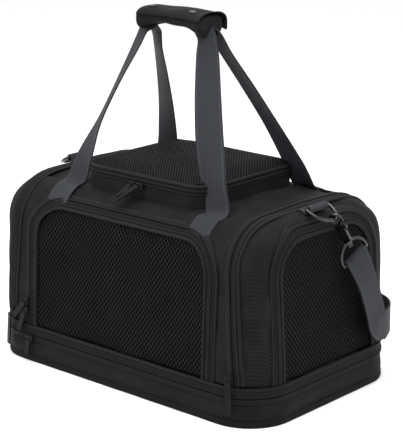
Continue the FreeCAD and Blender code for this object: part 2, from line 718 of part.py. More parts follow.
run_in = turn_in - eye_bar
run_in = (run_in - bar_line * run_in.dot(bar_line)).normalize()
bar_out = bar_line.cross(run_in).normalize()
if bar_out.x < 0:
    bar_out = bar_out * -1
loop_start = eye_bar - bar_line * half_web
loop = Part.makeCylinder(loop_out, webbing, loop_start, bar_line).cut(
    Part.makeCylinder(loop_in, webbing, loop_start, bar_line))
wide = bar_line * half_web
thick = bar_out * (webbing_thick / 2)
on_bar = eye_bar + bar_out * (loop_in + webbing_thick / 2)
section_at_bar = Part.makePolygon([on_bar - wide - thick, on_bar + wide - thick,
                                   on_bar + wide + thick, on_bar - wide + thick,
                                   on_bar - wide - thick])
turned_in = Part.Face(section_at_bar).extrude(run_in * (lean.Length * TURNED_IN_SHARE))
turned_in = turned_in.common(strap_outer)
end_shapes["strap_end"] = strap_ring.common(end_slab).fuse([turned_in, loop]).removeSplitter()

slider_x = 96.0
back_face = hood_half_depth + strap_clear + webbing_thick
slider_frame = box(slider_x - 13, slider_x + 13, back_face, back_face + 3,
                   STRAP_LOW - 5, STRAP_LOW + webbing + 5)
for slot_x in (slider_x - 6.5, slider_x + 6.5):
    slider_frame = slider_frame.cut(box(slot_x - 3.5, slot_x + 3.5, 0, FAR,
                                        STRAP_LOW - 1, STRAP_LOW + webbing + 1))
add_shape("strap_slider", slider_frame)

for label, shape in list(end_shapes.items()):
    add_shape("right_" + label, shape)
    add_shape("left_" + label, mirrored(shape, V(1, 0, 0)))

# ---------------------------------------------------------------- carrying handles
GRIP_WEB = 26.0                   # the webbing is folded narrower inside the grip
spread = size("handle_spread")
reach = size("handle_reach")
anchor_high = crown - size("anchor_high")
handle_top = crown + size("handle_rise")
grip_x = -size("grip_shift")
foot = surface_point(-webbing_thick, x=spread, z=anchor_high)
anchor = skin(-webbing_thick, 0).common(
    box(spread - half_web, spread + half_web, -FAR, 0, crown - size("anchor_low"), anchor_high))
anchor = anchor.cut(front_prism(EDGE_OUTER))
anchors = [anchor, mirrored(anchor, V(1, 0, 0))]
anchors += [mirrored(one, V(0, 1, 0)) for one in anchors]
add_shape("handle_anchors", Part.makeCompound(anchors))

loop_foot = V(0, foot.y - webbing_thick * 0.2, foot.z + 1.0)
loop_head = V(0, -size("handle_split") / 2 - webbing_thick, handle_top)
loop_up = (loop_head - loop_foot)
loop_rise = loop_up.Length
grip_out = reach + GRIP_WEB / 2
grip_in = reach - GRIP_WEB / 2
grip_low = loop_rise - GRIP_WEB
loop_outline = [(-spread - half_web, 0), (-spread + half_web, 0), (grip_x - grip_in, grip_low),
                (grip_x + grip_in, grip_low), (spread - half_web, 0),
                (spread + half_web, 0), (grip_x + grip_out, loop_rise),
                (grip_x - grip_out, loop_rise)]
rise_unit = V(loop_up).normalize()
loop_normal = V(1, 0, 0).cross(rise_unit).normalize()


def on_loop(u, v):
    return loop_foot + V(u, 0, 0) + rise_unit * v


loop_face = Part.Face(Part.makePolygon([on_loop(*p) for p in loop_outline + loop_outline[:1]]))
front_loop = loop_face.extrude(loop_normal * webbing_thick)
add_shape("front_handle", front_loop)
add_shape("back_handle", mirrored(front_loop, V(0, 1, 0)))

wrap_wall = size("wrap_wall")
half_wrap = size("wrap_length") / 2
slot_half = abs(loop_head.y) + webbing_thick + (
    (GRIP_WEB + 6 + wrap_wall) * abs(loop_up.y / loop_up.z) + 1)
wrap_low = handle_top - GRIP_WEB - 3
wrap_outer = box(-half_wrap, half_wrap, -slot_half - wrap_wall, slot_half + wrap_wall,
                 wrap_low - wrap_wall, handle_top + 1 + wrap_wall)
wrap_outer = wrap_outer.makeFillet(8, [e for e in wrap_outer.Edges
                                       if abs(e.tangentAt(0).x) > 0.5])
wrap_slot = box(-FAR, FAR, -slot_half, slot_half, wrap_low, handle_top + 1)
handle_wrap = wrap_outer.cut(wrap_slot)
for side in (1, -1):              # the legs leave the wrap through the open ends of its underside
    end_gap = box(0, half_wrap - grip_in + 3, -slot_half, slot_half, wrap_low - 2 * wrap_wall,
                  wrap_low + 1)
    end_gap.translate(V(grip_in - 2 if side > 0 else -half_wrap - 1, 0, 0))
    handle_wrap = handle_wrap.cut(end_gap)
handle_wrap.translate(V(grip_x, 0, 0))
add_shape("handle_wrap", handle_wrap)

# ---------------------------------------------------------------- zip sliders
SLIDER_LENGTH = 12.0
SLIDER_WIDTH = 9.0
SLIDER_HEIGHT = 4.6
SLIDER_FLOAT = 0.4                # slider to coil
PULL_WIDTH = 8.0
PULL_THICK = 2.0
SLIDER_ASIDE = SLIDER_WIDTH / 2 + 0.3


def slider(offset, aside, pull_length, pull_angle, pull_lean=0):
    """A slider on X and its fabric pull, which the angle turns in the XY plane and the lean
    turns about X.

    The slider is parked beside the split, on the zip half that stays when the door opens:
    aside is 1 or -1, the side of X that this half is on."""
    body = box(-SLIDER_LENGTH / 2, SLIDER_LENGTH / 2, -SLIDER_WIDTH / 2, SLIDER_WIDTH / 2,
               SLIDER_FLOAT, SLIDER_FLOAT + SLIDER_HEIGHT)
    body = body.makeFillet(1.6, body.Edges)
    pull_low = SLIDER_FLOAT + SLIDER_HEIGHT - 0.6
    pull = box(2.0, 2.0 + pull_length, -PULL_WIDTH / 2, PULL_WIDTH / 2,
               pull_low + 0.7, pull_low + 0.7 + PULL_THICK)
    pull.rotate(V(0, 0, 0), V(0, 0, 1), pull_angle)
    pull.rotate(V(0, 0, pull_low), V(1, 0, 0), pull_lean)
    pair = Part.makeCompound([body, pull])
    pair.translate(V(offset, aside * SLIDER_ASIDE, 0))
    return pair


def sliders(placement, parts):
    return placed(Part.makeCompound(parts), placement)


DOOR_SLIDER_Z = 74.0
SLIDER_STEP = 14.0
END_SLIDER_LIFT = 1.4             # clears the zip where it turns round the hood's corner
END_SLIDER_TURN = 0.55            # share of the corner's turn, which ends higher up the run
ARCH_SLIDER_LIFT = 0.6            # clears the zip where the arch starts to curve


def run_frame(low, high, outward):
    """Frame of a straight zip run between two points, its X upward along the run."""
    return frame_at(low, (high - low).normalize(), outward)


front_x = front_half + EDGE_SPLIT
front_low = surface_point(-zip_proud, x=front_x, z=DOOR_SLIDER_Z)
front_high = surface_point(-zip_proud, x=front_x, z=DOOR_SLIDER_Z + 60)
front_run = run_frame(V(-front_low.x, front_low.y, front_low.z),
                      V(-front_high.x, front_high.y, front_high.z), V(0, -1, 0))
add_shape("front_door_sliders", sliders(front_run, [
    slider(0, 1, 30, 160), slider(SLIDER_STEP, 1, 32, 140)]))

end_y = end_half + EDGE_SPLIT
end_low = surface_point(-zip_proud, y=end_y, z=DOOR_SLIDER_Z)
end_high = surface_point(-zip_proud, y=end_y, z=DOOR_SLIDER_Z + 20)
corner_in = base_corner - size("hood_inset")
end_turn = math.asin((end_y + SLIDER_ASIDE - hood_half_depth + corner_in) / corner_in)
end_face = end_turn * END_SLIDER_TURN
end_out = V(math.cos(end_face), math.sin(end_face), 0)
end_lift = end_out * END_SLIDER_LIFT
end_slider_run = run_frame(end_low + end_lift, end_high + end_lift, end_out)
end_sliders = sliders(end_slider_run, [
    slider(0, -1, 12, 192), slider(SLIDER_STEP, -1, 13, 200)])
add_shape("right_end_door_sliders", end_sliders)
add_shape("left_end_door_sliders", mirrored(end_sliders, V(1, 0, 0)))


def seam_x(z, offset):
    return arch_foot - offset - seam_run * (z - hood_foot)


ARCH_SLIDER_Z = 66.0
arch_points = []
for z in (ARCH_SLIDER_Z, ARCH_SLIDER_Z + 60):
    arch_points.append(surface_point(-zip_proud, x=seam_x(z, arch_split), z=z))
plan_turn = math.asin((arch_points[0].x - (hood_half_length - base_corner + size("hood_inset")))
                      / (base_corner - size("hood_inset")))
arch_out = V(math.sin(plan_turn), -math.cos(plan_turn), 0)
arch_lift = arch_out * ARCH_SLIDER_LIFT
arch_run = run_frame(arch_points[0] + arch_lift, arch_points[1] + arch_lift, arch_out)
arch_slider = sliders(arch_run, [slider(0, 1, 46, 180)])
add_shape("right_arch_slider", arch_slider)
add_shape("left_arch_slider", mirrored(arch_slider, V(1, 0, 0)))

top_run = frame_at(V(-12, -top_y - zip_proud, collar_split + zip_gap / 2), V(1, 0, 0),
                   V(0, -1, 0))
add_shape("top_door_sliders", sliders(top_run, [
    slider(0, -1, 26, 255, -50), slider(SLIDER_STEP, -1, 34, 235, -50)]))
BASE_SLIDER_X = -165.0
base_run = frame_at(V(BASE_SLIDER_X, -half_depth + binding_proud - zip_proud,
                      base_split + zip_gap / 2), V(1, 0, 0), V(0, -1, 0))
add_shape("base_zip_slider", sliders(base_run, [slider(0, -1, 22, 260)]))

# ---------------------------------------------------------------- write
doc.recompute()
for item in doc.Objects:
    if "Invalid" in item.State or "Error" in item.State:
        raise RuntimeError("%s failed" % item.Name)
os.makedirs("parts", exist_ok=True)
for node in nodes:
    shape = node.Shape
    if shape.isNull() or not shape.isValid():
        raise RuntimeError("%s has no valid shape" % node.Label)
    print("%-24s %2d solids %9.0f mm3" % (node.Label, len(shape.Solids), shape.Volume))
    shape.exportStep("parts/%s.step" % node.Label)
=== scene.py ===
import math

import bmesh
import bpy
import numpy as np
from mathutils import Matrix, Vector


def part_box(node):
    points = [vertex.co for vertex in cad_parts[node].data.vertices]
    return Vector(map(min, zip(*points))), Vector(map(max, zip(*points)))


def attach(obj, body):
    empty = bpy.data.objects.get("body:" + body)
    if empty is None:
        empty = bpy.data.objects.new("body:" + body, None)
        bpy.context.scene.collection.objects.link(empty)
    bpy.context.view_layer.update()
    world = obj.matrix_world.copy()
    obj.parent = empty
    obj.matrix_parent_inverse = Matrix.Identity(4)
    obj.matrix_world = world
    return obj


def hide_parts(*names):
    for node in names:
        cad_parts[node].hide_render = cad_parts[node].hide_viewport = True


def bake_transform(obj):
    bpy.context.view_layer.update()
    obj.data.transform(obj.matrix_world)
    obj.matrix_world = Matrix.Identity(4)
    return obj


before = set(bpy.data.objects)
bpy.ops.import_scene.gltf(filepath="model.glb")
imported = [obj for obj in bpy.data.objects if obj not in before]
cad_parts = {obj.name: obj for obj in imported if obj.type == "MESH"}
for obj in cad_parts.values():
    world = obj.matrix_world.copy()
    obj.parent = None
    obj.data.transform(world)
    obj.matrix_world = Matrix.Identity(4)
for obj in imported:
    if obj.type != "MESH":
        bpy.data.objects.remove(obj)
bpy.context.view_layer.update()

# ------------------------------------------------------------------ studio
# A pale seamless floor, a white surround and three soft boxes; a long lens from the front
# right, a little above the bag.
EYE = Vector((1.4784, -1.6254, 0.8208))
AIM = Vector((0.0632, 0.0, 0.2227))
camera = bpy.data.objects.new("camera", bpy.data.cameras.new("camera"))
camera.data.lens = 136.7
camera.data.sensor_width = 36.0
camera.data.shift_x = -0.0543
camera.location = EYE
camera.rotation_euler = (AIM - EYE).to_track_quat("-Z", "Y").to_euler()
bpy.context.scene.collection.objects.link(camera)
bpy.context.scene.camera = camera


def softbox(name, place, size, power):
    lamp = bpy.data.lights.new(name, "AREA")
    lamp.shape = "RECTANGLE"
    lamp.size, lamp.size_y = size
    lamp.energy = power
    holder = bpy.data.objects.new(name, lamp)
    holder.location = place
    holder.rotation_euler = (Vector((0, 0, 0.15)) - Vector(place)).to_track_quat("-Z", "Y").to_euler()
    bpy.context.scene.collection.objects.link(holder)


softbox("overhead", (0.1, -0.2, 2.0), (1.8, 1.6), 52)
softbox("front_left", (-1.3, -1.7, 0.9), (1.1, 1.3), 12)
softbox("right_rim", (1.9, 0.3, 1.0), (0.8, 1.4), 9)
surround = bpy.data.worlds.new("surround")
surround.use_nodes = True
surround.node_tree.nodes["Background"].inputs["Color"].default_value = (1, 1, 1, 1)
surround.node_tree.nodes["Background"].inputs["Strength"].default_value = 1.05
bpy.context.scene.world = surround
bpy.context.scene.view_settings.view_transform = "Standard"


# ------------------------------------------------------------------ floor
# A matt white sheet that runs well past the bag.
class Thread:
    """A shader socket that can stand in Python sums; each sum adds its Math nodes."""

    def __init__(self, finish, socket):
        self.finish = finish
        self.socket = socket

    def maths(self, operation, *others, turned=False):
        values = [self, *others]
        if turned:
            values.reverse()
        return self.finish.node("ShaderNodeMath", {"operation": operation},
                                dict(enumerate(values)))

    def __add__(self, other): return self.maths("ADD", other)
    __radd__ = __add__
    def __mul__(self, other): return self.maths("MULTIPLY", other)
    __rmul__ = __mul__
    def __sub__(self, other): return self.maths("SUBTRACT", other)
    def __rsub__(self, other): return self.maths("SUBTRACT", other, turned=True)
    def __truediv__(self, other): return self.maths("DIVIDE", other)
    def sine(self): return self.maths("SINE")
    def root(self): return self.maths("SQRT")
    def least(self, other): return self.maths("MINIMUM", other)
    def most(self, other): return self.maths("MAXIMUM", other)
    def size(self): return self.maths("ABSOLUTE")
    def fold(self, pitch): return self.maths("PINGPONG", pitch)
    def step(self, low, high):
        """0 below low, 1 above high and a smooth change between them."""
        return self.finish.node("ShaderNodeMapRange", {"interpolation_type": "SMOOTHSTEP"},
                                {"Value": self, "From Min": low, "From Max": high})


class Finish:
    """A material built on one Principled shader, whose fixed values are given by name."""

    def __init__(self, name, **fixed):
        self.material = bpy.data.materials.new(name)
        self.material.use_nodes = True
        self.tree = self.material.node_tree
        self.shader = self.tree.nodes["Principled BSDF"]
        for socket, value in fixed.items():
            self.shader.inputs[socket.replace("_", " ")].default_value = value
        self.sources = {}

    def node(self, kind, settings, inputs, output=0):
        made = self.tree.nodes.new(kind)
        for name, value in settings.items():
            setattr(made, name, value)
        for socket, value in inputs.items():
            if isinstance(value, Thread):
                self.tree.links.new(value.socket, made.inputs[socket])
            else:
                made.inputs[socket].default_value = value
        return Thread(self, made.outputs[output])

    def feed(self, **links):
        for socket, value in links.items():
            self.tree.links.new(value.socket, self.shader.inputs[socket.replace("_", " ")])

    def cloth(self):
        """Distances along and across the cloth, from the piece's own map, in metres."""
        if "cloth" not in self.sources:
            place = self.node("ShaderNodeUVMap", {"uv_map": "cloth"}, {})
            split = self.node("ShaderNodeSeparateXYZ", {}, {0: place})
            self.sources["cloth"] = (split, Thread(self, split.socket.node.outputs[1]))
        return self.sources["cloth"]

    def place(self):
        if "place" not in self.sources:
            self.sources["place"] = self.node("ShaderNodeTexCoord", {}, {}, "Object")
        return self.sources["place"]

    def cloud(self, scale, detail=3.0, rough=0.55):
        return self.node("ShaderNodeTexNoise", {}, {"Vector": self.place(), "Scale": scale,
                                                    "Detail": detail, "Roughness": rough})

    def tint(self, share, dark, light):
        return self.node("ShaderNodeMix", {"data_type": "RGBA"},
                         {"Factor": share, 6: (*dark, 1), 7: (*light, 1)}, 2)

    def blend(self, share, under, over):
        over = over if isinstance(over, Thread) else (*over, 1)
        return self.node("ShaderNodeMix", {"data_type": "RGBA"},
                         {"Factor": share, 6: under, 7: over}, 2)

    def relief(self, height, depth, strength=1.0):
        bump = self.node("ShaderNodeBump", {}, {"Height": height, "Distance": depth,
                                                "Strength": strength})
        self.feed(Normal=bump)


paper = Finish("studio_floor", Roughness=0.9, Specular_IOR_Level=0.2)
paper.feed(Base_Color=paper.tint(paper.cloud(6.0), (0.86, 0.86, 0.855), (0.88, 0.88, 0.875)))
sheet = bmesh.new()
bmesh.ops.create_grid(sheet, x_segments=1, y_segments=1, size=6.0)
floor_mesh = bpy.data.meshes.new("floor")
sheet.to_mesh(floor_mesh)
floor_mesh.materials.append(paper.material)
floor = bpy.data.objects.new("floor", floor_mesh)
bpy.context.scene.collection.objects.link(floor)


# ------------------------------------------------------------------ base tray
# A shallow tray of coated ripstop over foam: a flat bottom and a side band, bound round the
# bottom edge with ribbed tape.
BAG_LONG = 0.250
BAG_DEEP = 0.155
TRAY_CORNER = 0.064
BAND_TOP = 0.031


def laid_cloth(name, place, cloth_map, finish, body, replaces=(),
               thick=0.0, keep=None, round_edges=0.0, levels=0):
    """A grid of cloth laid so that its vertex in a row and column comes to place[row, column].

    cloth_map gives each vertex's distances along and across the cloth.  keep drops faces."""
    rows, columns = place.shape[:2]
    grid = bmesh.new()
    bmesh.ops.create_grid(grid, x_segments=columns - 1, y_segments=rows - 1, size=1.0)
    across = (columns - 1) / 2
    along = (rows - 1) / 2
    weave = grid.loops.layers.uv.new("cloth")
    seat = {}
    for vert in grid.verts:
        spot = (round((vert.co.y + 1) * along), round((vert.co.x + 1) * across))
        seat[vert] = spot
    dropped = []
    for face in grid.faces:
        spots = [seat[loop.vert] for loop in face.loops]
        for loop, spot in zip(face.loops, spots):
            loop[weave].uv = cloth_map[spot]
        if keep is not None and not keep[min(s[0] for s in spots), min(s[1] for s in spots)]:
            dropped.append(face)
    for vert, spot in seat.items():
        vert.co = place[spot]
    bmesh.ops.delete(grid, geom=dropped, context="FACES")
    bmesh.ops.remove_doubles(grid, verts=grid.verts, dist=1e-6)
    for face in grid.faces:
        face.smooth = True
    return finished(name, grid, finish, body, replaces, thick, round_edges, levels)


def finished(name, shape, finish, body, replaces=(), thick=0.0, round_edges=0.0,
             levels=0):
    """Ends a bmesh as a named piece with its finish, riding on a body."""
    mesh = bpy.data.meshes.new(name)
    shape.to_mesh(mesh)
    shape.free()
    mesh.materials.append(finish.material)
    piece = bpy.data.objects.new(name, mesh)
    bpy.context.scene.collection.objects.link(piece)
    if thick:
        wall = piece.modifiers.new("wall", "SOLIDIFY")
        wall.thickness = thick
        wall.offset = -1
    if round_edges:
        rounded = piece.modifiers.new("rounded", "BEVEL")
        rounded.width = round_edges
        rounded.segments = 3
    if levels:
        smoother = piece.modifiers.new("smoother", "SUBSURF")
        smoother.levels = smoother.render_levels = levels
    if body:
        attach(piece, body)
    if replaces:
        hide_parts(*replaces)
    return piece


def travelled(points):
    """Distance along a row of points."""
    steps = np.linalg.norm(np.diff(points, axis=0), axis=1)
    return np.concatenate([[0], np.cumsum(steps)])


def plan_outline(half_long, half_deep, corner, spacing=0.004):
    """A rounded rectangle in plan and its outward directions, from the middle of the back."""
    points = []
    outward = []
    arc = max(8, int(corner * math.pi / 2 / spacing))
    for turn, (cx, cy) in enumerate(((-1, 1), (-1, -1), (1, -1), (1, 1))):
        centre = np.array([cx * (half_long - corner), cy * (half_deep - corner)])
        start = math.pi / 2 + turn * math.pi / 2
        for step in range(arc + 1):
            angle = start + step / arc * math.pi / 2
            outward.append([math.cos(angle), math.sin(angle)])
            points.append(centre + corner * np.array(outward[-1]))
    points.append(points[0])
    outward.append(outward[0])
    ends = np.array(points)
    directions = np.array(outward)
    spots = travelled(ends)
    even = np.linspace(0, spots[-1], int(spots[-1] / spacing) + 1)
    column = lambda values: np.interp(even, spots, values)
    plan = np.stack([column(ends[:, 0]), column(ends[:, 1])], 1)
    facing = np.stack([column(directions[:, 0]), column(directions[:, 1])], 1)
    return plan, facing / np.linalg.norm(facing, axis=1, keepdims=True)


def ripple(points, depth, length, seed):
    """Small smooth unevenness of sewn fabric, from a few crossing waves."""
    draw = np.random.default_rng(seed)
    total = np.zeros(points.shape[:-1])
    for wave in range(7):
        run = draw.normal(size=3)
        run *= 2 * math.pi / (length * draw.uniform(0.6, 1.8)) / np.linalg.norm(run)
        total += np.sin(points @ run + draw.uniform(0, 6.3)) / 7 ** 0.5
    return total * depth


def plan_band(half_long, half_deep, corner, section, waver=0.0003, seed=1):
    """Places of a band run round a plan outline; section lists (out, height) points."""
    plan, facing = plan_outline(half_long, half_deep, corner)
    section = np.array(section, float)
    place = np.zeros((len(plan), len(section), 3))
    place[:, :, :2] = plan[:, None] + facing[:, None] * section[None, :, :1]
    place[:, :, 2] = section[None, :, 1]
    wobble = ripple(place, waver, 0.05, seed)
    place[:, :, :2] += facing[:, None] * wobble[:, :, None]
    return place


def cloth_map_of(place, across_from=None):
    """Distances along the middle of a band and across its section."""
    middle = place[:, place.shape[1] // 2]
    along = travelled(middle)
    across = travelled(place[len(place) // 2])
    return np.stack(np.broadcast_arrays(along[:, None], across[None, :]), -1)


def weave_relief(finish, pitch):
    """Plain weave: threads over and under each other."""
    u, v = finish.cloth()
    turn = 2 * math.pi / pitch
    return (u * turn).sine() * (v * turn).sine()


def ripstop_cloth(name, dark, light, grid=0.0055):
    """Coated plain weave with a thicker thread every few millimetres, on the bias."""
    cloth = Finish(name, Sheen_Weight=0.006, Sheen_Roughness=0.4, Specular_IOR_Level=0.05)
    u, v = cloth.cloth()
    thread = ((u + v).fold(grid / 2).least((u - v).fold(grid / 2)))
    rib = 1 - thread.step(0.00018, 0.00055)
    weave = weave_relief(cloth, 0.0011)
    wear = cloth.cloud(38.0, 5.0)
    base = cloth.tint(wear.step(0.3, 0.75), dark, light)
    base = cloth.blend(rib * 0.55, base, tuple(2.3 * c for c in light))
    cloth.feed(Base_Color=base, Roughness=0.5 + wear * 0.22 - rib * 0.06)
    cloth.relief(rib * 0.5 + weave * 0.28 + wear * 0.8, 0.0004)
    return cloth


ripstop = ripstop_cloth("ripstop", (0.0045, 0.0045, 0.0048), (0.0100, 0.0100, 0.0106))
ribbed_binding = Finish("ribbed_binding", Sheen_Weight=0.006, Specular_IOR_Level=0.07)
u, v = ribbed_binding.cloth()
rib = (u * (2 * math.pi / 0.0016)).sine()
stitch = (1 - (v - 0.0072).size().step(0.0002, 0.0006)) * u.fold(0.0016).step(0.0003, 0.0007)
shade = ribbed_binding.cloud(60.0)
ribbed_binding.feed(
    Base_Color=ribbed_binding.blend(stitch, ribbed_binding.tint(
        shade, (0.004, 0.004, 0.0045), (0.009, 0.009, 0.0098)), (0.028, 0.028, 0.031)),
    Roughness=0.62 + shade * 0.2)
ribbed_binding.relief(rib * 0.35 + stitch * 0.9, 0.0005)

tray_in = BAG_LONG - 0.0012
tray_deep = BAG_DEEP - 0.0012
tray_round = TRAY_CORNER - 0.0012
side_band = [(-0.006, 0.0012), (-0.001, 0.0014), (0, 0.004), (0.0003, 0.010), (0.0009, 0.016),
             (0.0009, 0.022), (0.0004, 0.028), (-0.0006, 0.0318), (-0.003, 0.0322),
             (-0.0042, 0.031), (-0.0044, 0.020), (-0.0046, 0.0042)]
band_place = plan_band(tray_in, tray_deep, tray_round, side_band, 0.0004, 3)
tray_band = laid_cloth("tray_side_band", band_place, cloth_map_of(band_place), ripstop, "base",
                       ["base_tray"])


def rounded_field(half_long, half_deep, corner, columns, rows):
    """A grid that fills a rounded rectangle, its outer rows and columns on the outline."""
    turn = np.linspace(-math.pi / 2, math.pi / 2, rows)
    v = half_deep * np.sign(turn) * (1 - (1 - np.abs(np.sin(turn))) ** 1.0)
    v = np.interp(np.arange(rows), [0, rows - 1], [-1, 1])
    v = half_deep * np.sin(v * math.pi / 2)
    past = np.clip(np.abs(v) - (half_deep - corner), 0, corner)
    half = half_long - corner + np.sqrt(np.maximum(corner ** 2 - past ** 2, 0))
    share = np.linspace(-1, 1, columns)
    return half[:, None] * share[None, :], np.broadcast_to(v[:, None], (rows, columns))


x, y = rounded_field(tray_in - 0.004, tray_deep - 0.004, tray_round - 0.004, 61, 41)
bottom = np.stack([x, y, np.full_like(x, 0.004)], -1)
tray_bottom = laid_cloth("tray_bottom", bottom, np.stack([x, y], -1), ripstop, "base",
                         ["base_tray"], thick=0.0034)
edge_tape = [(-0.010, 0.0002), (-0.003, 0.0001), (0.0, 0.0006), (0.0005, 0.0022), (0.0002, 0.0085),
             (-0.0009, 0.0096), (-0.0014, 0.0086), (-0.0014, 0.002), (-0.003, 0.0012),
             (-0.010, 0.0012)]
binding_place = plan_band(BAG_LONG, BAG_DEEP, TRAY_CORNER, edge_tape, 0.0002, 4)
binding = laid_cloth("bottom_edge_binding", binding_place, cloth_map_of(binding_place),
                     ribbed_binding, "base", ["base_binding"])

# ------------------------------------------------------------------ base zip and rim piping
# A size 8 reverse-coil zip joins tray and hood all round: two woven tapes whose coil lies
# behind, so only a folded edge shows each side of the split.
zip_tape = Finish("zip_tape", Sheen_Weight=0.006, Specular_IOR_Level=0.07)
u, v = zip_tape.cloth()
chevron = ((u + v * 1.2) * (2 * math.pi / 0.0021)).sine()
sewn = (1 - (v - 0.0024).size().step(0.00015, 0.0005)) * u.fold(0.0014).step(0.0003, 0.0006)
dust = zip_tape.cloud(90.0)
zip_tape.feed(
    Base_Color=zip_tape.blend(sewn, zip_tape.tint(dust, (0.0042, 0.0042, 0.0047),
                                                  (0.010, 0.010, 0.011)), (0.036, 0.036, 0.040)),
    Roughness=0.5 + dust * 0.25)
zip_tape.relief(chevron * 0.30 + sewn * 1.0, 0.00045)

covered_cord = Finish("covered_piping_cord", Sheen_Weight=0.006, Specular_IOR_Level=0.09)
u, v = covered_cord.cloth()
bias = ((u * 1.0 + v * 1.0) * (2 * math.pi / 0.0012)).sine()
pucker = covered_cord.node("ShaderNodeTexNoise", {}, {"Vector": covered_cord.place(),
                                                      "Scale": 140.0, "Detail": 2.0})
covered_cord.feed(
    Base_Color=covered_cord.tint(pucker, (0.0045, 0.0045, 0.005), (0.011, 0.011, 0.012)),
    Roughness=0.42 + pucker * 0.25)
covered_cord.relief(bias * 0.2 + pucker * 0.9, 0.0006)

ZIP_SECTION = [(0.0, -0.0012), (0.0, 0.0004), (0.0030, 0.0006), (0.0052, 0.0008),
               (0.0060, 0.0016), (0.0072, 0.0021), (0.0082, 0.0016), (0.0086, 0.0004),
               (0.0086, -0.0012), (0.0, -0.0012)]
BASE_SPLIT = 0.0396
HOOD_RIM = 0.0487
HOOD_FOOT = 0.0537
ZIP_IN = 0.0012
lower = [(out - 0.0002, BAND_TOP + across) for across, out in ZIP_SECTION][::-1]
upper = [(out - 0.0002, HOOD_RIM - across) for across, out in ZIP_SECTION]
for name, section, body, node in (("base_zip_lower_tape", lower, "base", "base_zip_lower_half"),
                                  ("base_zip_upper_tape", upper, "hood", "base_zip_upper_half")):
    tape_place = plan_band(BAG_LONG - ZIP_IN, BAG_DEEP - ZIP_IN, TRAY_CORNER - ZIP_IN, section,
                           0.0002, 5)
    laid_cloth(name, tape_place, cloth_map_of(tape_place), zip_tape, body, [node])


def ring_section(radius, out, height, sides=14):
    angles = np.linspace(0, 2 * math.pi, sides + 1)
    return [(out + radius * math.cos(a), height - radius * math.sin(a)) for a in angles]


rim_place = plan_band(BAG_LONG, BAG_DEEP, TRAY_CORNER,
                      ring_section(0.0026, -0.0026, HOOD_RIM + 0.0025)[::-1], 0.0003, 6)
laid_cloth("hood_rim_cord", rim_place, cloth_map_of(rim_place), covered_cord, "hood",
           ["hood_rim_piping"])

# ------------------------------------------------------------------ hood form
# The hood's fabric follows one shape: an arch run along the bag, closed by leaning ends and
# rounded in plan.  Every panel, tape and cord below is laid on it.
LEG_LEAN = math.tan(math.radians(3.6))
END_LEAN = math.tan(math.radians(4.2))
CROWN_FALL = math.tan(math.radians(3.0))
CROWN = 0.270
WALL_DEEP = BAG_DEEP - 0.002
WALL_LONG = BAG_LONG - 0.002
MIDDLE = 0.110                    # height of the middle that the form is measured from
SEAM_BLEND = 64                   # how tightly the sides meet in plan
CORNER_BLEND = 15                 # how softly the arch meets the leaning ends


def rounded_outline(corners, radii):
    """Dense points of a rounded polygon."""
    points = []
    count = len(corners)
    for index in range(count):
        before, corner, after = (np.array(corners[(index + k) % count], float) for k in (-1, 0, 1))
        back = (before - corner) / np.linalg.norm(before - corner)
        ahead = (after - corner) / np.linalg.norm(after - corner)
        half = math.acos(np.clip(back @ ahead, -1, 1)) / 2
        radius = radii[index]
        bisector = (back + ahead) / np.linalg.norm(back + ahead)
        centre = corner + bisector * radius / math.sin(half)
        first = corner + back * radius / math.tan(half)
        last = corner + ahead * radius / math.tan(half)
        a, b = (math.atan2(*(p - centre)[::-1]) for p in (first, last))
        sweep = (b - a + math.pi) % (2 * math.pi) - math.pi
        for step in np.linspace(0, 1, 40):
            angle = a + sweep * step
            points.append(centre + radius * np.array([math.cos(angle), math.sin(angle)]))
    closed = np.array(points + points[:1])
    spots = travelled(closed)
    even = np.linspace(0, spots[-1], 4000)
    return np.stack([np.interp(even, spots, closed[:, 0]), np.interp(even, spots, closed[:, 1])], 1)


def reach_table(outline, middle):
    """How far the outline lies from its middle in each direction."""
    arm = outline - middle
    angle = np.arctan2(arm[:, 1], arm[:, 0])
    order = np.argsort(angle)
    return angle[order], np.hypot(arm[:, 0], arm[:, 1])[order]


shoulder_z = CROWN - CROWN_FALL * (WALL_DEEP - LEG_LEAN * (CROWN - HOOD_FOOT))
shoulder_y = WALL_DEEP - LEG_LEAN * (shoulder_z - HOOD_FOOT)
deep = -0.1
leg_y = WALL_DEEP - LEG_LEAN * (deep - HOOD_FOOT)
arch_table = reach_table(rounded_outline(
    [(-leg_y, deep), (leg_y, deep), (shoulder_y, shoulder_z), (0, CROWN),
     (-shoulder_y, shoulder_z)], [0.001, 0.001, 0.074, 0.6, 0.074]), (0, MIDDLE))
end_top = WALL_LONG - END_LEAN * (CROWN - HOOD_FOOT)
end_low = WALL_LONG - END_LEAN * (deep - HOOD_FOOT)
end_table = reach_table(rounded_outline(
    [(-end_low, deep), (end_low, deep), (end_top, CROWN), (-end_top, CROWN)],
    [0.001, 0.001, 0.044, 0.044]), (0, MIDDLE))
plan_table = reach_table(rounded_outline(
    [(-WALL_LONG, -WALL_DEEP), (WALL_LONG, -WALL_DEEP), (WALL_LONG, WALL_DEEP),
     (-WALL_LONG, WALL_DEEP)], [0.062] * 4), (0, 0))


def fullness(points):
    """1 on the hood's fabric, less inside it."""
    shares = []
    for (angles, reach), (a, b, middle) in ((arch_table, (1, 2, MIDDLE)),
                                            (end_table, (0, 2, MIDDLE)),
                                            (plan_table, (0, 1, 0))):
        across = points[..., a]
        up = points[..., b] - middle
        limit = np.interp(np.arctan2(up, across), angles, reach, period=2 * math.pi)
        shares.append(np.hypot(across, up) / limit)
    arch, ends, plan_share = shares
    upper = (arch ** CORNER_BLEND + ends ** CORNER_BLEND) ** (SEAM_BLEND / CORNER_BLEND)
    total = upper + plan_share ** SEAM_BLEND
    return total ** (1 / SEAM_BLEND)


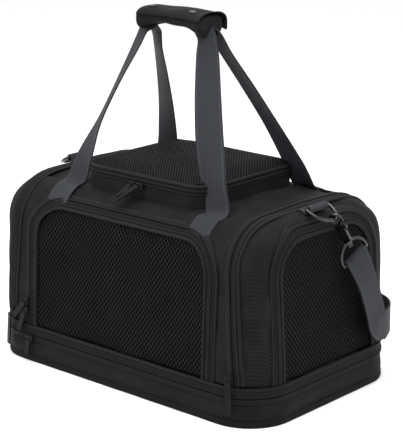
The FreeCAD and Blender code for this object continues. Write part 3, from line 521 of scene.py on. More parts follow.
def out_to_fabric(inside, direction):
    """From points inside the hood along a direction to its fabric."""
    direction = direction / np.linalg.norm(direction, axis=-1, keepdims=True)
    near = np.zeros(direction.shape[:-1])
    far = np.full(direction.shape[:-1], 0.6)
    for _ in range(26):
        middle = (near + far) / 2
        within = fullness(inside + direction * middle[..., None]) < 1
        near = np.where(within, middle, near)
        far = np.where(within, far, middle)
    return inside + direction * near[..., None]


def facing_of(points):
    """Outward directions of the fabric."""
    slope = np.stack([fullness(points + step) - fullness(points - step)
                      for step in 0.0015 * np.eye(3)], -1)
    return slope / np.linalg.norm(slope, axis=-1, keepdims=True)


def arch_at(x, angle):
    """A point of the tunnel at x, the angle turning from straight up towards the back."""
    middle = np.stack([x, np.zeros_like(x), np.full_like(x, MIDDLE)], -1)
    direction = np.stack([np.zeros_like(x), np.sin(angle), np.cos(angle)], -1)
    return out_to_fabric(middle, direction)


ARCH_FOOT = 0.219
HALF_CORD = 0.0025
ZIP_HALF = 0.0086
GAP = 0.0005
DOOR_FOOT = HOOD_FOOT + 0.0005
FOOT_ANGLE = math.pi / 2 + math.atan2(MIDDLE - DOOR_FOOT, WALL_DEEP)


def arch_seam(offset, angles):
    """The line of an arch seam moved inboard by offset, at the right end."""
    x = np.full_like(angles, ARCH_FOOT - offset)
    for _ in range(6):
        points = arch_at(x, angles)
        x = ARCH_FOOT - offset - END_LEAN * (points[:, 2] - HOOD_FOOT)
    return points


# ------------------------------------------------------------------ hood panels
# Front, top and back panels of ripstop over thin foam, sewn to each other at the top collar.
# The front panel is cut out round the mesh door.
FRONT_TILT = math.tan(math.radians(14))
FRONT_REF = -(WALL_DEEP - LEG_LEAN * (0.224 - HOOD_FOOT)) * 0.86
FRONT_HALF, FRONT_TOP, FRONT_ROUND = 0.155, 0.224, 0.044
FRONT_LOW = DOOR_FOOT - FRONT_TILT * (WALL_DEEP + FRONT_REF)
TAPE_EDGE = HALF_CORD + 2 * ZIP_HALF + GAP
EDGE_CORD = 0.005
EDGE_SPLIT = EDGE_CORD + ZIP_HALF
EDGE_OUTER = EDGE_CORD + 2 * ZIP_HALF + GAP


def within_arched(u, v, half, top, corner, spread):
    """Whether points lie inside an arched door outline that is grown by spread."""
    wide = half + spread
    high = top + spread
    radius = corner + spread
    past_u = np.abs(u) - (wide - radius)
    past_v = v - (high - radius)
    corner_zone = (past_u > 0) & (past_v > 0)
    return np.where(corner_zone, np.hypot(past_u, past_v) < radius,
                    (np.abs(u) < wide) & (v < high))


def tunnel_panel(name, node, first, last, rows, dent, seed):
    angles = np.linspace(first, last, rows)
    share = np.linspace(-1, 1, 171)
    line = arch_seam(TAPE_EDGE - 0.004, angles)
    x = line[:, None, 0] * share[None, :]
    place = arch_at(x, np.broadcast_to(angles[:, None], x.shape))
    facing = facing_of(place)
    lengthwise = travelled(place[:, 85])
    cloth = np.stack([x, np.broadcast_to(lengthwise[:, None], x.shape)], -1)
    lift = ripple(place, dent, 0.07, seed) - 0.0004
    if node == "top_panel":
        lift = lift - 0.0035 * np.clip(1 - ((np.abs(x) - 0.165) / 0.045) ** 2, 0, 1)
    place = place + facing * lift[..., None]
    keep = None
    mid = (place[1:, 1:] + place[:-1, :-1]) / 2
    if node == "front_panel":
        v = mid[..., 2] - FRONT_TILT * (FRONT_REF - mid[..., 1])
        keep = ~within_arched(mid[..., 0], v, FRONT_HALF, FRONT_TOP, FRONT_ROUND,
                              EDGE_OUTER - 0.004)
    if node == "top_panel":
        past_x = np.maximum(np.abs(mid[..., 0]) - 0.080, 0)
        past_y = np.maximum(np.abs(mid[..., 1]) - 0.065, 0)
        keep = np.hypot(past_x, past_y) > 0.031
    return laid_cloth(name, place, cloth, ripstop, "hood", [node], thick=0.003,
                      keep=keep)


COLLAR_ANGLE = math.atan2(0.101, 0.262 - MIDDLE)
tunnel_panel("hood_front_panel", "front_panel", -FOOT_ANGLE, -COLLAR_ANGLE, 101, 0.0006, 11)
tunnel_panel("hood_top_panel", "top_panel", -COLLAR_ANGLE, COLLAR_ANGLE, 81, 0.0008, 12)
tunnel_panel("hood_back_panel", "back_panel", COLLAR_ANGLE, FOOT_ANGLE, 81, 0.0012, 13)


# ------------------------------------------------------------------ seams laid on the fabric
# Zip tapes and piping cords follow two lines on the fabric and stand a little proud of it.
def laid_strip(name, inner, outer, section, finish, body, replaces, waver=0.0002, seed=1):
    """A strip between two lines on the hood; section lists (share across, height)."""
    section = np.array(section, float)
    share = section[:, 0][None, :, None]
    flat = inner[:, None] * (1 - share) + outer[:, None] * share
    facing = facing_of(flat)
    height = section[:, 1][None, :] + ripple(flat, waver, 0.04, seed)
    place = flat + facing * height[..., None]
    width = np.linalg.norm(outer - inner, axis=1).mean()
    along = travelled((inner + outer) / 2)
    cloth = np.stack(np.broadcast_arrays(along[:, None], section[:, 0][None, :] * width), -1)
    return laid_cloth(name, place, cloth, finish, body, replaces)


TAPE = [(across / 0.0086, height + 0.0005) for across, height in ZIP_SECTION]
CORD = [(0.5 + 0.52 * math.cos(a), 0.0004 + 0.0026 * math.sin(a))
        for a in np.linspace(0, 2 * math.pi, 15)]


def turned(section):
    return [(1 - share, height) for share, height in section][::-1]


arch_angles = np.linspace(-FOOT_ANGLE, FOOT_ANGLE, 220)
for side, flip in (("right", 1), ("left", -1)):
    mirror = np.array([flip, 1, 1])
    order = slice(None, None, flip)
    lines = {offset: (arch_seam(offset, arch_angles) * mirror)[order]
             for offset in (-HALF_CORD, HALF_CORD, HALF_CORD + ZIP_HALF,
                            HALF_CORD + ZIP_HALF + GAP, TAPE_EDGE)}
    cord_out, cord_in, split_out, split_in, tape_in = lines.values()
    laid_strip(side + "_arch_cord", cord_in, cord_out, CORD, covered_cord, side + "_end",
               [side + "_arch_piping"], 0.0003, 21)
    laid_strip(side + "_arch_tape_outer", cord_in, split_out, turned(TAPE)[::-1], zip_tape,
               side + "_end", [side + "_arch_zip_end_half"])
    laid_strip(side + "_arch_tape_inner", tape_in, split_in, TAPE, zip_tape,
               "hood", ["arch_zip_hood_halves"])

# ------------------------------------------------------------------ front mesh door
# Spacer mesh in a piped, zipped frame.  It is sewn along its foot and unzips round the
# sides and top.
def air_mesh(name, pitch_u, pitch_v, tone=1.0):
    """Knitted spacer mesh: staggered oval holes, coloured near-black as painted shade of the dark
    inside seen through them, in a ribbed, slightly shiny face.
    """
    mesh = Finish(name, Sheen_Weight=0.002, Specular_IOR_Level=0.03)
    u, v = mesh.cloth()
    hole = None
    for shift in (0.0, 0.5):
        near = (u + pitch_u * shift).fold(pitch_u / 2) / (pitch_u * 0.27)
        far = (v + pitch_v * shift).fold(pitch_v / 2) / (pitch_v * 0.27)
        ring = (near * near + far * far).root()
        hole = ring if hole is None else hole.least(ring)
    solid = hole.step(0.92, 1.20)
    shade = mesh.cloud(45.0, 4.0)
    knit = (u * (2 * math.pi / 0.0012)).sine() * 0.5 + 0.5
    thread = mesh.tint(shade, tuple(tone * c for c in (0.0040, 0.0042, 0.0048)),
                       tuple(tone * c for c in (0.0170, 0.0178, 0.0200)))
    # The holes get a near-black colour: painted shade of the bag's dark inside seen through the mesh.
    mesh.feed(Base_Color=mesh.blend(1 - solid, thread, (0.0006, 0.0006, 0.0007)),
              Roughness=0.52 + shade * 0.2 + (1 - solid) * 0.2)
    mesh.relief(solid * 1.0 + knit * 0.12, 0.0011)
    return mesh


door_mesh = air_mesh("door_air_mesh", 0.0062, 0.0084)


def arched_field(half, foot, top, corner, columns, rows):
    """A grid that fills an arched outline, its edge rows and columns on the outline."""
    turn = np.linspace(0, 1, rows)
    v = foot + (top - foot) * (1 - (1 - turn) ** 1.6)
    past = np.clip(v - (top - corner), 0, corner)
    wide = half - corner + np.sqrt(np.maximum(corner ** 2 - past ** 2, 0))
    share = np.linspace(-1, 1, columns)
    return wide[:, None] * share[None, :], np.broadcast_to(v[:, None], (rows, columns))


def on_front(u, v):
    inside = np.stack([u, np.full_like(u, -0.05), v + FRONT_TILT * (FRONT_REF + 0.05)], -1)
    return out_to_fabric(inside, np.broadcast_to([0, -1, FRONT_TILT], inside.shape))


def on_right_end(u, v):
    inside = np.stack([np.full_like(u, 0.13), u, v], -1)
    return out_to_fabric(inside, np.broadcast_to([1.0, 0, 0], inside.shape))


def arched_line(half, foot, top, corner, spread, spacing=0.003):
    """An arched outline from its left foot over the top to its right foot."""
    wide = half + spread
    high = top + spread
    radius = corner + spread
    arc = np.linspace(math.pi, math.pi / 2, 26)
    left = np.stack([-(wide - radius) + radius * np.cos(arc),
                     high - radius + radius * np.sin(arc)], 1)
    right = left[::-1] * [-1, 1]
    line = np.concatenate([[[-wide, foot]], left, right, [[wide, foot]]])
    spots = travelled(line)
    even = np.linspace(0, 1, int((2 * half + 2 * (top - foot)) / spacing)) * spots[-1]
    return np.interp(even, spots, line[:, 0]), np.interp(even, spots, line[:, 1])


def slack(u, v, half, foot, top, depth):
    """Mesh pulled flat at its edges and a little slack in its middle."""
    across = np.clip(1 - (u / half) ** 2, 0, 1)
    up = np.clip((v - foot) / (top - foot), 0, 1)
    return -depth * across * 4 * up * (1 - up)


u, v = arched_field(FRONT_HALF, FRONT_LOW, FRONT_TOP, FRONT_ROUND, 121, 81)
place = on_front(u, v)
lift = slack(u, v, FRONT_HALF, FRONT_LOW, FRONT_TOP, 0.003) + ripple(place, 0.0009, 0.09, 31)
place = place + facing_of(place) * (lift - 0.0012)[..., None]
front_mesh = laid_cloth("front_door_air_mesh", place,
                        np.stack([u, np.broadcast_to(travelled(place[:, 60])[:, None], u.shape)],
                                 -1),
                        door_mesh, "front_door", ["front_door_mesh"], thick=0.0026)

front_lines = {}
for spread in (0, EDGE_CORD, EDGE_SPLIT, EDGE_SPLIT + GAP, EDGE_OUTER):
    front_lines[spread] = on_front(*arched_line(FRONT_HALF, FRONT_LOW, FRONT_TOP, FRONT_ROUND,
                                                spread))
    front_lines[spread][:, 2] = np.maximum(front_lines[spread][:, 2], DOOR_FOOT)
laid_strip("front_door_cord", front_lines[0], front_lines[EDGE_CORD], CORD, covered_cord,
           "front_door", ["front_door_piping"], 0.0003, 32)
laid_strip("front_door_tape", front_lines[EDGE_CORD], front_lines[EDGE_SPLIT], TAPE, zip_tape,
           "front_door", ["front_door_zip_half"])
laid_strip("front_panel_tape", front_lines[EDGE_OUTER], front_lines[EDGE_SPLIT + GAP], TAPE,
           zip_tape, "hood", ["front_panel_zip_half"])

# ------------------------------------------------------------------ top opening and its door
# A fabric collar stands up round the top opening; its zip, piping and a domed mesh lid close
# it.  The lid is sewn along the back.
TOP_LONG, TOP_DEEP, TOP_CORNER = 0.114, 0.099, 0.034
COLLAR_TOP = 0.275
COLLAR_SPLIT = COLLAR_TOP + ZIP_HALF / 2
LID_LOW = COLLAR_SPLIT + GAP
LID_CORD = LID_LOW + ZIP_HALF / 2
LID_RIM = LID_CORD + 0.005
plan, facing2 = plan_outline(TOP_LONG, TOP_DEEP, TOP_CORNER, 0.003)
start = np.concatenate([plan, np.full((len(plan), 1), 0.2)], 1)
roof = out_to_fabric(start, np.broadcast_to([0, 0, 1.0], start.shape))[:, 2]
wall_share = np.linspace(0, 1, 7)
outer_z = (roof[:, None] - 0.003) * (1 - wall_share) + (COLLAR_TOP + 0.0006) * wall_share
collar = np.zeros((len(plan), 12, 3))
collar[:, :7, :2] = plan[:, None]
collar[:, :7, 2] = outer_z
for column, (inward, height) in enumerate(((0.001, 0.0012), (0.0034, 0.0012), (0.004, 0.0),
                                           (0.004, -0.004), (0.004, -0.012)), 7):
    collar[:, column, :2] = plan - facing2 * inward
    collar[:, column, 2] = COLLAR_TOP + height
collar[:, :, :2] += facing2[:, None] * ripple(collar, 0.0005, 0.05, 41)[..., None]
laid_cloth("top_collar_band", collar, cloth_map_of(collar), ripstop, "hood", ["top_collar"])
half_tape = [(0, 0.0), (0.0010, 0.0003), (0.0012, 0.0018), (0.0019, 0.0028), (0.0016, 0.0040),
             (0.0006, 0.0043), (-0.0018, 0.0043), (-0.0022, 0.0)]
for name, section, body, node in (
        ("top_collar_tape", [(o, COLLAR_TOP + h) for o, h in half_tape], "hood",
         "top_collar_zip_half"),
        ("top_lid_tape", [(o, LID_CORD - h) for o, h in half_tape][::-1], "top_door",
         "top_door_zip_half")):
    tape_place = plan_band(TOP_LONG, TOP_DEEP, TOP_CORNER, section, 0.0002, 42)
    laid_cloth(name, tape_place, cloth_map_of(tape_place), zip_tape, body, [node])
lid_cord = plan_band(TOP_LONG, TOP_DEEP, TOP_CORNER,
                     ring_section(0.0027, -0.0018, LID_CORD + 0.0026)[::-1], 0.0003, 43)
laid_cloth("top_lid_cord", lid_cord, cloth_map_of(lid_cord), covered_cord, "top_door",
           ["top_door_piping"])
lid_mesh = air_mesh("lid_air_mesh", 0.0046, 0.0056, 1.5)
x, y = rounded_field(TOP_LONG - 0.0035, TOP_DEEP - 0.0035, TOP_CORNER - 0.0035, 81, 61)
inset = np.minimum(TOP_LONG - np.abs(x), TOP_DEEP - np.abs(y))
swell = 1 - (1 - np.clip(inset / 0.034, 0, 1)) ** 2
dome = np.stack([x, y, LID_RIM - 0.0026 + 0.0085 * swell
                 + 0.0030 * (1 - (x / TOP_LONG) ** 2) * (1 - (y / TOP_DEEP) ** 2)], -1)
dome[..., 2] += ripple(dome, 0.0006, 0.08, 44) * swell
laid_cloth("top_lid_air_mesh", dome, np.stack([x, y], -1), lid_mesh, "top_door",
           ["top_door_mesh"], thick=0.0024)

# ------------------------------------------------------------------ ends of the bag
# Each end is a flap of ripstop sewn to the base rim and zipped along the arch seam, with a
# smaller mesh door in its middle.
END_HALF, END_TOP, END_ROUND = 0.092, 0.232, 0.046
END_FOOT = DOOR_FOOT
end_lines = {}
for spread in (0, EDGE_CORD, EDGE_SPLIT, EDGE_SPLIT + GAP, EDGE_OUTER - 0.0035, EDGE_OUTER):
    end_lines[spread] = on_right_end(*arched_line(END_HALF, END_FOOT, END_TOP, END_ROUND, spread))
seam_dense = arch_seam(-HALF_CORD + 0.001, np.linspace(-FOOT_ANGLE, FOOT_ANGLE, 400))
spots = travelled(seam_dense)
door_edge = end_lines[EDGE_OUTER - 0.0035]
share = travelled(door_edge) / travelled(door_edge)[-1]
even = np.interp(share, [0, 1], [0, spots[-1]])
seam_edge = np.stack([np.interp(even, spots, seam_dense[:, axis]) for axis in range(3)], 1)
across = np.linspace(0, 1, 25)[None, :, None]
chord = door_edge[:, None] * (1 - across) + seam_edge[:, None] * across
core = np.zeros_like(chord)
core[..., 0] = 0.150
core[..., 1] = chord[..., 1] * 0.55
core[..., 2] = np.clip(chord[..., 2], 0.0, 0.150)
end_cloth = out_to_fabric(core, chord - core)
end_cloth[..., 2] = np.maximum(end_cloth[..., 2], DOOR_FOOT - 0.0005)
end_facing = facing_of(end_cloth)
end_cloth += end_facing * (ripple(end_cloth, 0.0008, 0.06, 51) - 0.0004)[..., None]
end_uv = np.stack([end_cloth[..., 1], end_cloth[..., 2] - end_cloth[..., 0]], -1)

u, v = arched_field(END_HALF, END_FOOT, END_TOP, END_ROUND, 81, 81)
end_place = on_right_end(u, v)
lift = slack(u, v, END_HALF, END_FOOT, END_TOP, 0.0025) + ripple(end_place, 0.0008, 0.08, 52)
end_place = end_place + facing_of(end_place) * (lift - 0.0014)[..., None]
end_mesh_uv = np.stack([u, v], -1)

for side, flip in (("right", 1), ("left", -1)):
    mirror = np.array([flip, 1, 1])

    def mirrored(place):
        """The same grid at this end; rows reversed so that its cloth faces outwards."""
        return (place * mirror)[::flip]

    laid_cloth(side + "_end_flap", mirrored(end_cloth)[:, ::-1], end_uv[::flip, ::-1], ripstop,
               side + "_end", [side + "_end_panel"], thick=0.003)
    laid_cloth(side + "_end_air_mesh", mirrored(end_place), end_mesh_uv[::flip], door_mesh,
               side + "_end_door", [side + "_end_door_mesh"], thick=0.0026)
    lines = {spread: mirrored(line) for spread, line in end_lines.items()}
    laid_strip(side + "_end_door_cord", lines[0], lines[EDGE_CORD], CORD, covered_cord,
               side + "_end_door", [side + "_end_door_piping"], 0.0003, 53)
    laid_strip(side + "_end_door_tape", lines[EDGE_CORD], lines[EDGE_SPLIT], TAPE, zip_tape,
               side + "_end_door", [side + "_end_door_zip_half"])
    laid_strip(side + "_end_panel_tape", lines[EDGE_OUTER], lines[EDGE_SPLIT + GAP], TAPE,
               zip_tape, side + "_end", [side + "_end_panel_zip_half"])

# ------------------------------------------------------------------ carrying loops
# Two loops of 38 mm webbing are sewn flat to the hood above the doors, rise with a twist and
# lie side by side inside the grip wrap.
WEB = 0.038
WEB_THICK = 0.0022
twill = Finish("twill_webbing", Sheen_Weight=0.015, Sheen_Roughness=0.4, Specular_IOR_Level=0.12)
u, v = twill.cloth()
diagonal = ((u + v) * (2 * math.pi / 0.0024)).sine() * 0.5 + 0.5
cross = ((u * 1.0 - v * 1.0) * (2 * math.pi / 0.0008)).sine() * 0.5 + 0.5
selvage = (v.size()).step(0.0172, 0.0180)
edge_stitch = (1 - (v.size() - 0.0158).size().step(0.0002, 0.0006)) * u.fold(0.0017).step(
    0.0003, 0.0007)
fade = twill.cloud(30.0, 4.0)
base = twill.tint(diagonal * 0.7 + fade * 0.3, (0.0080, 0.0088, 0.0105), (0.034, 0.037, 0.044))
base = twill.blend(selvage * 0.5, base, (0.010, 0.011, 0.0135))
base = twill.blend(edge_stitch, base, (0.060, 0.065, 0.075))
twill.feed(Base_Color=base, Roughness=0.42 + fade * 0.25)
twill.relief(diagonal * 0.7 + cross * 0.15 + edge_stitch * 0.8 + selvage * 0.3, 0.0006)


def smooth_keys(keys, count):
    """Places and values between keys, on a smooth curve through all of them."""
    keys = np.array(keys, float)
    spots = travelled(keys[:, :3])
    padded = np.concatenate([[2 * keys[0] - keys[1]], keys, [2 * keys[-1] - keys[-2]]])
    out = []
    for where in np.linspace(0, spots[-1], count):
        index = min(np.searchsorted(spots, where, side="right") - 1, len(keys) - 2)
        t = (where - spots[index]) / (spots[index + 1] - spots[index])
        a, b, c, d = padded[index:index + 4]
        out.append(0.5 * (2 * b + (c - a) * t + (2 * a - 5 * b + 4 * c - d) * t ** 2
                          + (3 * b - a - 3 * c + d) * t ** 3))
    return np.array(out)


def webbing(name, keys, body, replaces, finish=twill, width=WEB, count=120,
            thick=WEB_THICK, cup=0.0):
    """A strap through keys of place, turn and width share.

    Each key is (x, y, z, sideways x, y, z, width share); cup curls the strap's edges."""
    run = smooth_keys(keys, count)
    middle = run[:, :3]
    side = run[:, 3:6]
    ahead = np.gradient(middle, axis=0)
    ahead /= np.linalg.norm(ahead, axis=1, keepdims=True)
    side -= ahead * (side * ahead).sum(1, keepdims=True)
    side /= np.linalg.norm(side, axis=1, keepdims=True)
    face = np.cross(side, ahead)
    across = np.linspace(-0.5, 0.5, 15)
    half = width * run[:, 6:7]
    place = (middle[:, None] + side[:, None] * (across[None, :] * half)[..., None]
             + face[:, None] * (cup * (4 * across ** 2))[None, :, None])
    cloth = np.stack(np.broadcast_arrays(travelled(middle)[:, None], across[None, :] * width), -1)
    piece = laid_cloth(name, place, cloth, finish, None, ())
    wall = piece.modifiers.new("wall", "SOLIDIFY")
    wall.thickness = thick
    wall.offset = 0
    soft = piece.modifiers.new("soft_edge", "BEVEL")
    soft.width = 0.0006
    soft.segments = 2
    soft.limit_method = "ANGLE"
    if body:
        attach(piece, body)
    if replaces:
        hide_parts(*replaces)
    return piece

def front_at(x, z):
    """A point of the front wall or shoulder at x and height z."""
    v = z
    for _ in range(12):
        point = on_front(np.array([x]), np.array([v]))[0]
        v += z - point[2]
    return point


GRIP_X = -0.014
GRIP_REACH = 0.057
GRIP_TOP = 0.494
SPREAD = 0.129


def loop_keys(back):
    """The keys of one loop, from its left sewn end over the grip to its right one."""
    keys = []
    for side in (-1, 1):
        foot = np.stack([front_at(side * SPREAD, height)
                         for height in (0.2350, 0.2440, 0.2525, 0.2585)])
        proud = facing_of(foot) * np.array([[0.0004], [0.0014], [0.0020], [0.0026]])
        low, mid, hem, high = foot + proud
        grip = np.array([GRIP_X + side * 0.0560 - 0.003, -0.010, GRIP_TOP - 0.026])
        rise = grip - high
        twist = {(-1, False): (-0.35, -0.72, -0.74, -0.55), (1, False): (0.10, 0.55, 0.62, 0.6),
                 (-1, True): (0.12, 0.28, 0.42, 0.5), (1, True): (0.12, 0.24, 0.26, 0.25)}
        turns = twist[side, back]
        leg = [(*spot, 1, 0, 0, 1) for spot in (low, mid, hem, high)]
        for share, turn, bulge in ((0.17, turns[0] * 0.8, 0.004), (0.40, turns[1], 0.006),
                                   (0.65, turns[2], 0.004), (0.88, turns[3], 0.0)):
            spot = high + rise * share + np.array([0, -bulge, 0])
            leg.append((*spot, math.cos(turn), math.sin(turn), 0.0, 1 - 0.28 * share ** 3))
        grip_turn = turns[3] * 0.6
        leg.append((*grip, math.cos(grip_turn), math.sin(grip_turn), 0.0, 0.68))
        leg.append((GRIP_X - 0.0045 + side * 0.046, -0.008, 0.4830, 0.35, 1, 0.0, 0.68))
        if side > 0:
            leg.reverse()
        keys += leg
    return keys


def loop_leg(name, keys, back, replaces):
    keys = [list(key) for key in keys]
    if back:
        for key in keys:
            key[1] = -key[1]
            key[4] = -key[4]
        keys.reverse()
    strap = webbing(name, keys, None, (), count=110, cup=0.0016)
    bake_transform(strap)
    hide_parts(*replaces)
    return strap


for label, back, body in (("front", False, "front_handle"), ("back", True, "back_handle")):
    keys = loop_keys(back)
    half = len(keys) // 2
    loop_leg(label + "_loop_left_leg", keys[:half], back, [body, "handle_anchors"])
    loop_leg(label + "_loop_right_leg", keys[half:], back, [body, "handle_anchors"])
    y = 0.008 if back else -0.008
    middle = [(GRIP_X - 0.0045 + spot, y, 0.4830, 0, 1, 0, share) for spot, share in
              ((-0.047, 0.62), (-0.036, 0.40), (0.0, 0.40), (0.036, 0.40), (0.047, 0.62))]
    webbing(label + "_loop_grip", middle, body, [], count=40)

# ------------------------------------------------------------------ grip wrap
# A padded ripstop wrap closes round both loops with a hook-and-loop flap; its ends are bound
# and held by bar tacks.
WRAP_LONG = 0.119
WRAP_X = -0.0185
WRAP_ROUND = 0.005                # rounding of the wrap's closed ends
around = np.linspace(0, 2 * math.pi, 73)
quarter = np.linspace(0, math.pi / 2, 8)[1:]
cap_x = np.concatenate([WRAP_ROUND * (np.sin(quarter) - 1), [0.0002, 0.0, -0.0004]])
cap_size = np.concatenate([1 - 0.0050 / 0.0125 * (1 - np.cos(quarter)) * 0.8, [0.45, 0.2, 0.01]])
straight = np.linspace(-1, 1, 57) * (WRAP_LONG / 2 - WRAP_ROUND)
along = np.concatenate([-(WRAP_LONG / 2 + cap_x)[::-1], straight, WRAP_LONG / 2 + cap_x])
scale = np.concatenate([cap_size[::-1], np.ones(57), cap_size])


def wrap_surface(along, around, scale, out):
    """Points of the wrap's padded, slightly squared sleeve, raised by out."""
    cos, sin = np.cos(around)[None, :], np.sin(around)[None, :]
    ends = np.clip(np.abs(2 * along / WRAP_LONG), 0, 1)[:, None] ** 2.4
    below = np.clip(-sin, 0, 1) ** 0.8
    place = np.zeros((len(along), around.shape[0], 3))
    place[..., 0] = WRAP_X + along[:, None]
    place[..., 1] = (0.0250 + out) * np.sign(cos) * np.abs(cos) ** 0.76 * scale[:, None]
    place[..., 2] = (0.4835 + 0.0025 * (1 - ends)
                     + scale[:, None] * ((0.0120 + out) * np.sign(sin) * np.abs(sin) ** 0.76
                                         + below * (0.0050 * (1 - ends) - 0.0090 * ends)))
    soft = ripple(place, 0.0012, 0.028, 61) * np.minimum(scale, 1)[:, None]
    place[..., 1] += soft * cos
    place[..., 2] += soft * sin
    return place


sleeve = wrap_surface(along, around, scale, 0.0)
sleeve_cloth = np.stack(np.broadcast_arrays(along[:, None], travelled(sleeve[35])[None, :]), -1)
wrap = laid_cloth("grip_wrap", sleeve[:, ::-1], sleeve_cloth[:, ::-1], ripstop, "back_handle",
                  ["handle_wrap"])
over = np.radians(np.linspace(168, -20, 49))
flap_along = np.linspace(-0.054, 0.0615, 47)
flap_rise = 0.0012 + 0.0018 * np.clip((flap_along - 0.052) / 0.01, 0, 1)
flap = np.stack([wrap_surface(np.array([spot]), over, np.ones(1), rise)[0]
                 for spot, rise in zip(flap_along, flap_rise)])
flap_cloth = np.stack(np.broadcast_arrays(flap_along[:, None], travelled(flap[20])[None, :]), -1)
laid_cloth("grip_wrap_flap", flap, flap_cloth, ripstop, "back_handle", [], thick=0.0016)
for label, first in (("front", -17), ("back", 160)):
    hem = np.radians(np.linspace(first, first + 6, 5))
    tape = np.stack([wrap_surface(np.array([spot]), hem, np.ones(1), rise + 0.0006)[0]
                     for spot, rise in zip(flap_along, flap_rise)])
    laid_cloth("grip_flap_%s_hem" % label, tape[:, ::-1],
               np.stack(np.broadcast_arrays(flap_along[:, None],
                                            np.linspace(0, 0.005, 5)[None, :]), -1),
               covered_cord, "back_handle", [], thick=0.0008)
tack_thread = Finish("tack_thread", Sheen_Weight=0.1, Specular_IOR_Level=0.3)
strand = (tack_thread.cloth()[0] * (2 * math.pi / 0.0009)).sine() * 0.5 + 0.5
tack_thread.feed(Base_Color=tack_thread.tint(strand, (0.010, 0.010, 0.012), (0.060, 0.060, 0.066)),
                 Roughness=0.5 + strand * 0.2)
tack_thread.relief(strand, 0.0004)
for label, middle in (("left", -0.035), ("right", 0.036)):
    tack_along = middle + np.linspace(-0.0055, 0.0055, 15)
    bulge = np.sqrt(np.clip(1 - ((tack_along - middle) / 0.0056) ** 2, 0.04, 1))
    tack = np.stack([wrap_surface(np.array([spot]), np.radians(112 - 9 * wide * np.linspace(
        -1, 1, 9)), np.ones(1), 0.0036)[0] for spot, wide in zip(tack_along, bulge)])
    laid_cloth("grip_tack_" + label, tack, np.stack(np.broadcast_arrays(
        tack_along[:, None], np.linspace(-0.003, 0.003, 9)[None, :]), -1), tack_thread,
        "back_handle", [], thick=0.0006)

# ------------------------------------------------------------------ ring tabs and D-rings
# A short webbing tab is sewn to the crown by the arch seam and rolled over the bar of a
# black-plated D-ring, which lies out over the end of the bag.
gunmetal = Finish("black_plated_metal", Metallic=1.0, Coat_Weight=0.5, Coat_Roughness=0.08)
smear = gunmetal.cloud(120.0, 4.0)
rub = gunmetal.cloud(700.0, 2.0)
gunmetal.feed(Base_Color=gunmetal.tint(smear, (0.012, 0.012, 0.013), (0.036, 0.036, 0.038)),
              Roughness=0.16 + smear * 0.2 + rub * 0.06)
gunmetal.relief(rub * 0.3 + smear * 0.5, 0.0001)
RING_X, RING_Z = 0.2210, 0.2629


def dressed(node, finish):
    """Gives a CAD node that is shown its finish."""
    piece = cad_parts[node]
    piece.data.materials.clear()
    piece.data.materials.append(finish.material)


for side, flip in (("right", 1), ("left", -1)):
    keys = []
    for x in (0.206, 0.212, 0.2165):
        point = out_to_fabric(np.array([[x, 0, 0.2]]), np.array([[0, 0, 1.0]]))[0]
        keys.append((flip * x, 0, point[2] + 0.0014))
    ring = np.array(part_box(side + "_d_ring"))
    for angle in (100, 60, 15, -30, -75, -120, -160):
        a = math.radians(angle)
        keys.append((flip * (RING_X + 0.0039 * math.cos(a)), 0, RING_Z + 0.0039 * math.sin(a)))
    keys = [(*key, 0, flip, 0, 1.0) for key in keys]
    webbing(side + "_ring_tab_webbing", keys, side + "_end", [side + "_ring_tab"], count=60)
    for piece in ("d_ring", "snap_hook", "snap_gate", "swivel_eye"):
        dressed(side + "_" + piece, gunmetal)
dressed("strap_slider", gunmetal)

# ------------------------------------------------------------------ shoulder strap
# 38 mm webbing: it folds over the bar of each swivel eye, runs down and round the back corner
# and hangs across the back, with a slider to set its length.
STRAP_MID = 0.066 + WEB / 2
STRAP_OUT = 0.0136
corner_y = WALL_DEEP - TRAY_CORNER
BAR = np.array([0.25068, 0.04584, 0.19250])
BAR_LINE = np.array([0.18696, 0.82406, 0.53477])
x_out = WALL_LONG + STRAP_OUT
turn = np.array([x_out, corner_y, STRAP_MID])
inward = turn - BAR
inward -= BAR_LINE * (inward @ BAR_LINE)
inward /= np.linalg.norm(inward)
outward = np.cross(inward, BAR_LINE)
outward *= np.sign(outward[0])
for side, flip in (("right", 1), ("left", -1)):
    keys = []
    for angle in (-150, -90, -30, 30, 90):
        a = math.radians(angle)
        spot = BAR + 0.0040 * (outward * math.sin(a) - inward * math.cos(a))
        keys.append((*spot, *BAR_LINE, 1.0))
    plane = np.array([0, corner_y - BAR[1], STRAP_MID - BAR[2]])
    across_y, across_z = -plane[2], plane[1]
    length = math.hypot(across_y, across_z)
    flat_side = np.array([0, across_y / length, across_z / length])
    for share, turned_share in ((0.30, 0.8), (0.50, 1.0), (0.75, 1.0)):
        spot = BAR + (turn - BAR) * share
        spot[0] = x_out - (x_out - BAR[0] - 0.0036) * (1 - turned_share)
        sidewards = BAR_LINE * (1 - turned_share) + flat_side * turned_share
        keys.append((*spot, *sidewards, 1.0))
    radius = TRAY_CORNER + STRAP_OUT - 0.002
    for angle in (0, 22, 45, 68, 90):
        a = math.radians(angle)
        keys.append((x_out - radius + radius * math.cos(a), corner_y + radius * math.sin(a),
                     STRAP_MID + 0.0005, 0, 0, 1, 1.0))
    keys = np.array(keys)
    keys[:, 0] *= flip
    keys[:, 3] *= flip
    if flip < 0:
        keys = keys[::-1]
    webbing(side + "_strap_length", keys, side + "_end", [side + "_strap_end"], count=120)
back_y = corner_y + TRAY_CORNER + STRAP_OUT - 0.002
x_edge = WALL_LONG + STRAP_OUT - (TRAY_CORNER + STRAP_OUT - 0.002)
keys = [(x, back_y + bow, STRAP_MID + 0.0005 - sag, 0, 0, 1, 1.0)
        for x, bow, sag in ((x_edge, 0, 0), (0.09, 0.0008, 0.0012), (0, 0.0004, 0.002),
                            (-0.09, 0.0008, 0.0012), (-x_edge, 0, 0))]
webbing("strap_across_back", keys, "hood", ["shoulder_strap"], count=120)

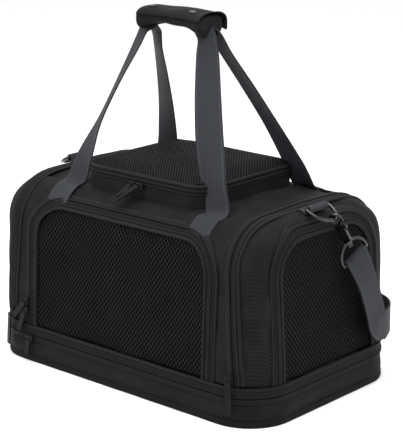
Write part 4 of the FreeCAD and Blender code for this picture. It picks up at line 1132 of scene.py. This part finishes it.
# ------------------------------------------------------------------ zip sliders
# Black-enamelled sliders, each with a short cord pull in a moulded end.
enamel = Finish("black_enamel", Specular_IOR_Level=0.08)
chip = enamel.cloud(260.0, 4.0)
enamel.feed(Base_Color=enamel.tint(chip, (0.0035, 0.0035, 0.004), (0.0100, 0.0100, 0.0106)),
            Roughness=0.28 + chip * 0.3)
enamel.relief(chip, 0.0001)
for node in ("front_door_sliders", "top_door_sliders", "right_end_door_sliders",
             "left_end_door_sliders", "right_arch_slider", "left_arch_slider",
             "base_zip_slider"):
    dressed(node, enamel)

# ------------------------------------------------------------------ floor board and cushion
# A stiff plastic board lies in the tray under a fleece cushion.
board = Finish("moulded_board", Specular_IOR_Level=0.4)
grain = board.cloud(300.0, 3.0)
board.feed(Base_Color=board.tint(grain, (0.012, 0.012, 0.012), (0.03, 0.03, 0.03)),
           Roughness=0.45 + grain * 0.3)
board.relief(grain, 0.0003)
dressed("floor_board", board)
fleece = Finish("quilted_fleece", Sheen_Weight=0.6, Sheen_Roughness=0.6)
nap = fleece.cloud(420.0, 5.0)
tuft = fleece.cloud(60.0, 3.0)
fleece.feed(Base_Color=fleece.tint(nap * 0.5 + tuft * 0.5, (0.035, 0.036, 0.040),
                                   (0.11, 0.112, 0.12)), Roughness=0.85 + nap * 0.1)
fleece.relief(nap * 1.0 + tuft * 1.5, 0.0012)
low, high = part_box("floor_cushion")
plan, _ = plan_outline(high.x - 0.003, high.y - 0.003, 0.05, 0.005)
thick = high.z - low.z
rings = np.concatenate([np.linspace(0, 0.97, 18), [0.992, 1.0, 1.0, 0.992],
                        np.linspace(0.97, 0, 30)])
heights = np.concatenate([np.zeros(18), [0.06, 0.3, 0.62, 0.86], 0.93 + 0.07 * np.ones(30)])
cushion = np.zeros((len(plan), len(rings), 3))
cushion[..., :2] = plan[:, None] * rings[None, :, None]
cushion[..., 2] = low.z + 0.0003 + (thick - 0.001) * heights[None, :]
channel = np.minimum(np.abs((cushion[..., 0] / 0.09 + 0.5) % 1 - 0.5),
                     np.abs((cushion[..., 1] / 0.09 + 0.5) % 1 - 0.5)) * 0.09
cushion[..., 2] -= np.where(heights[None, :] > 0.9, 0.005 * np.exp(-(channel / 0.010) ** 2), 0)
pad = laid_cloth("floor_cushion_pad", cushion[:, ::-1], cushion[:, ::-1, :2], fleece, "cushion",
                 ["floor_cushion"])
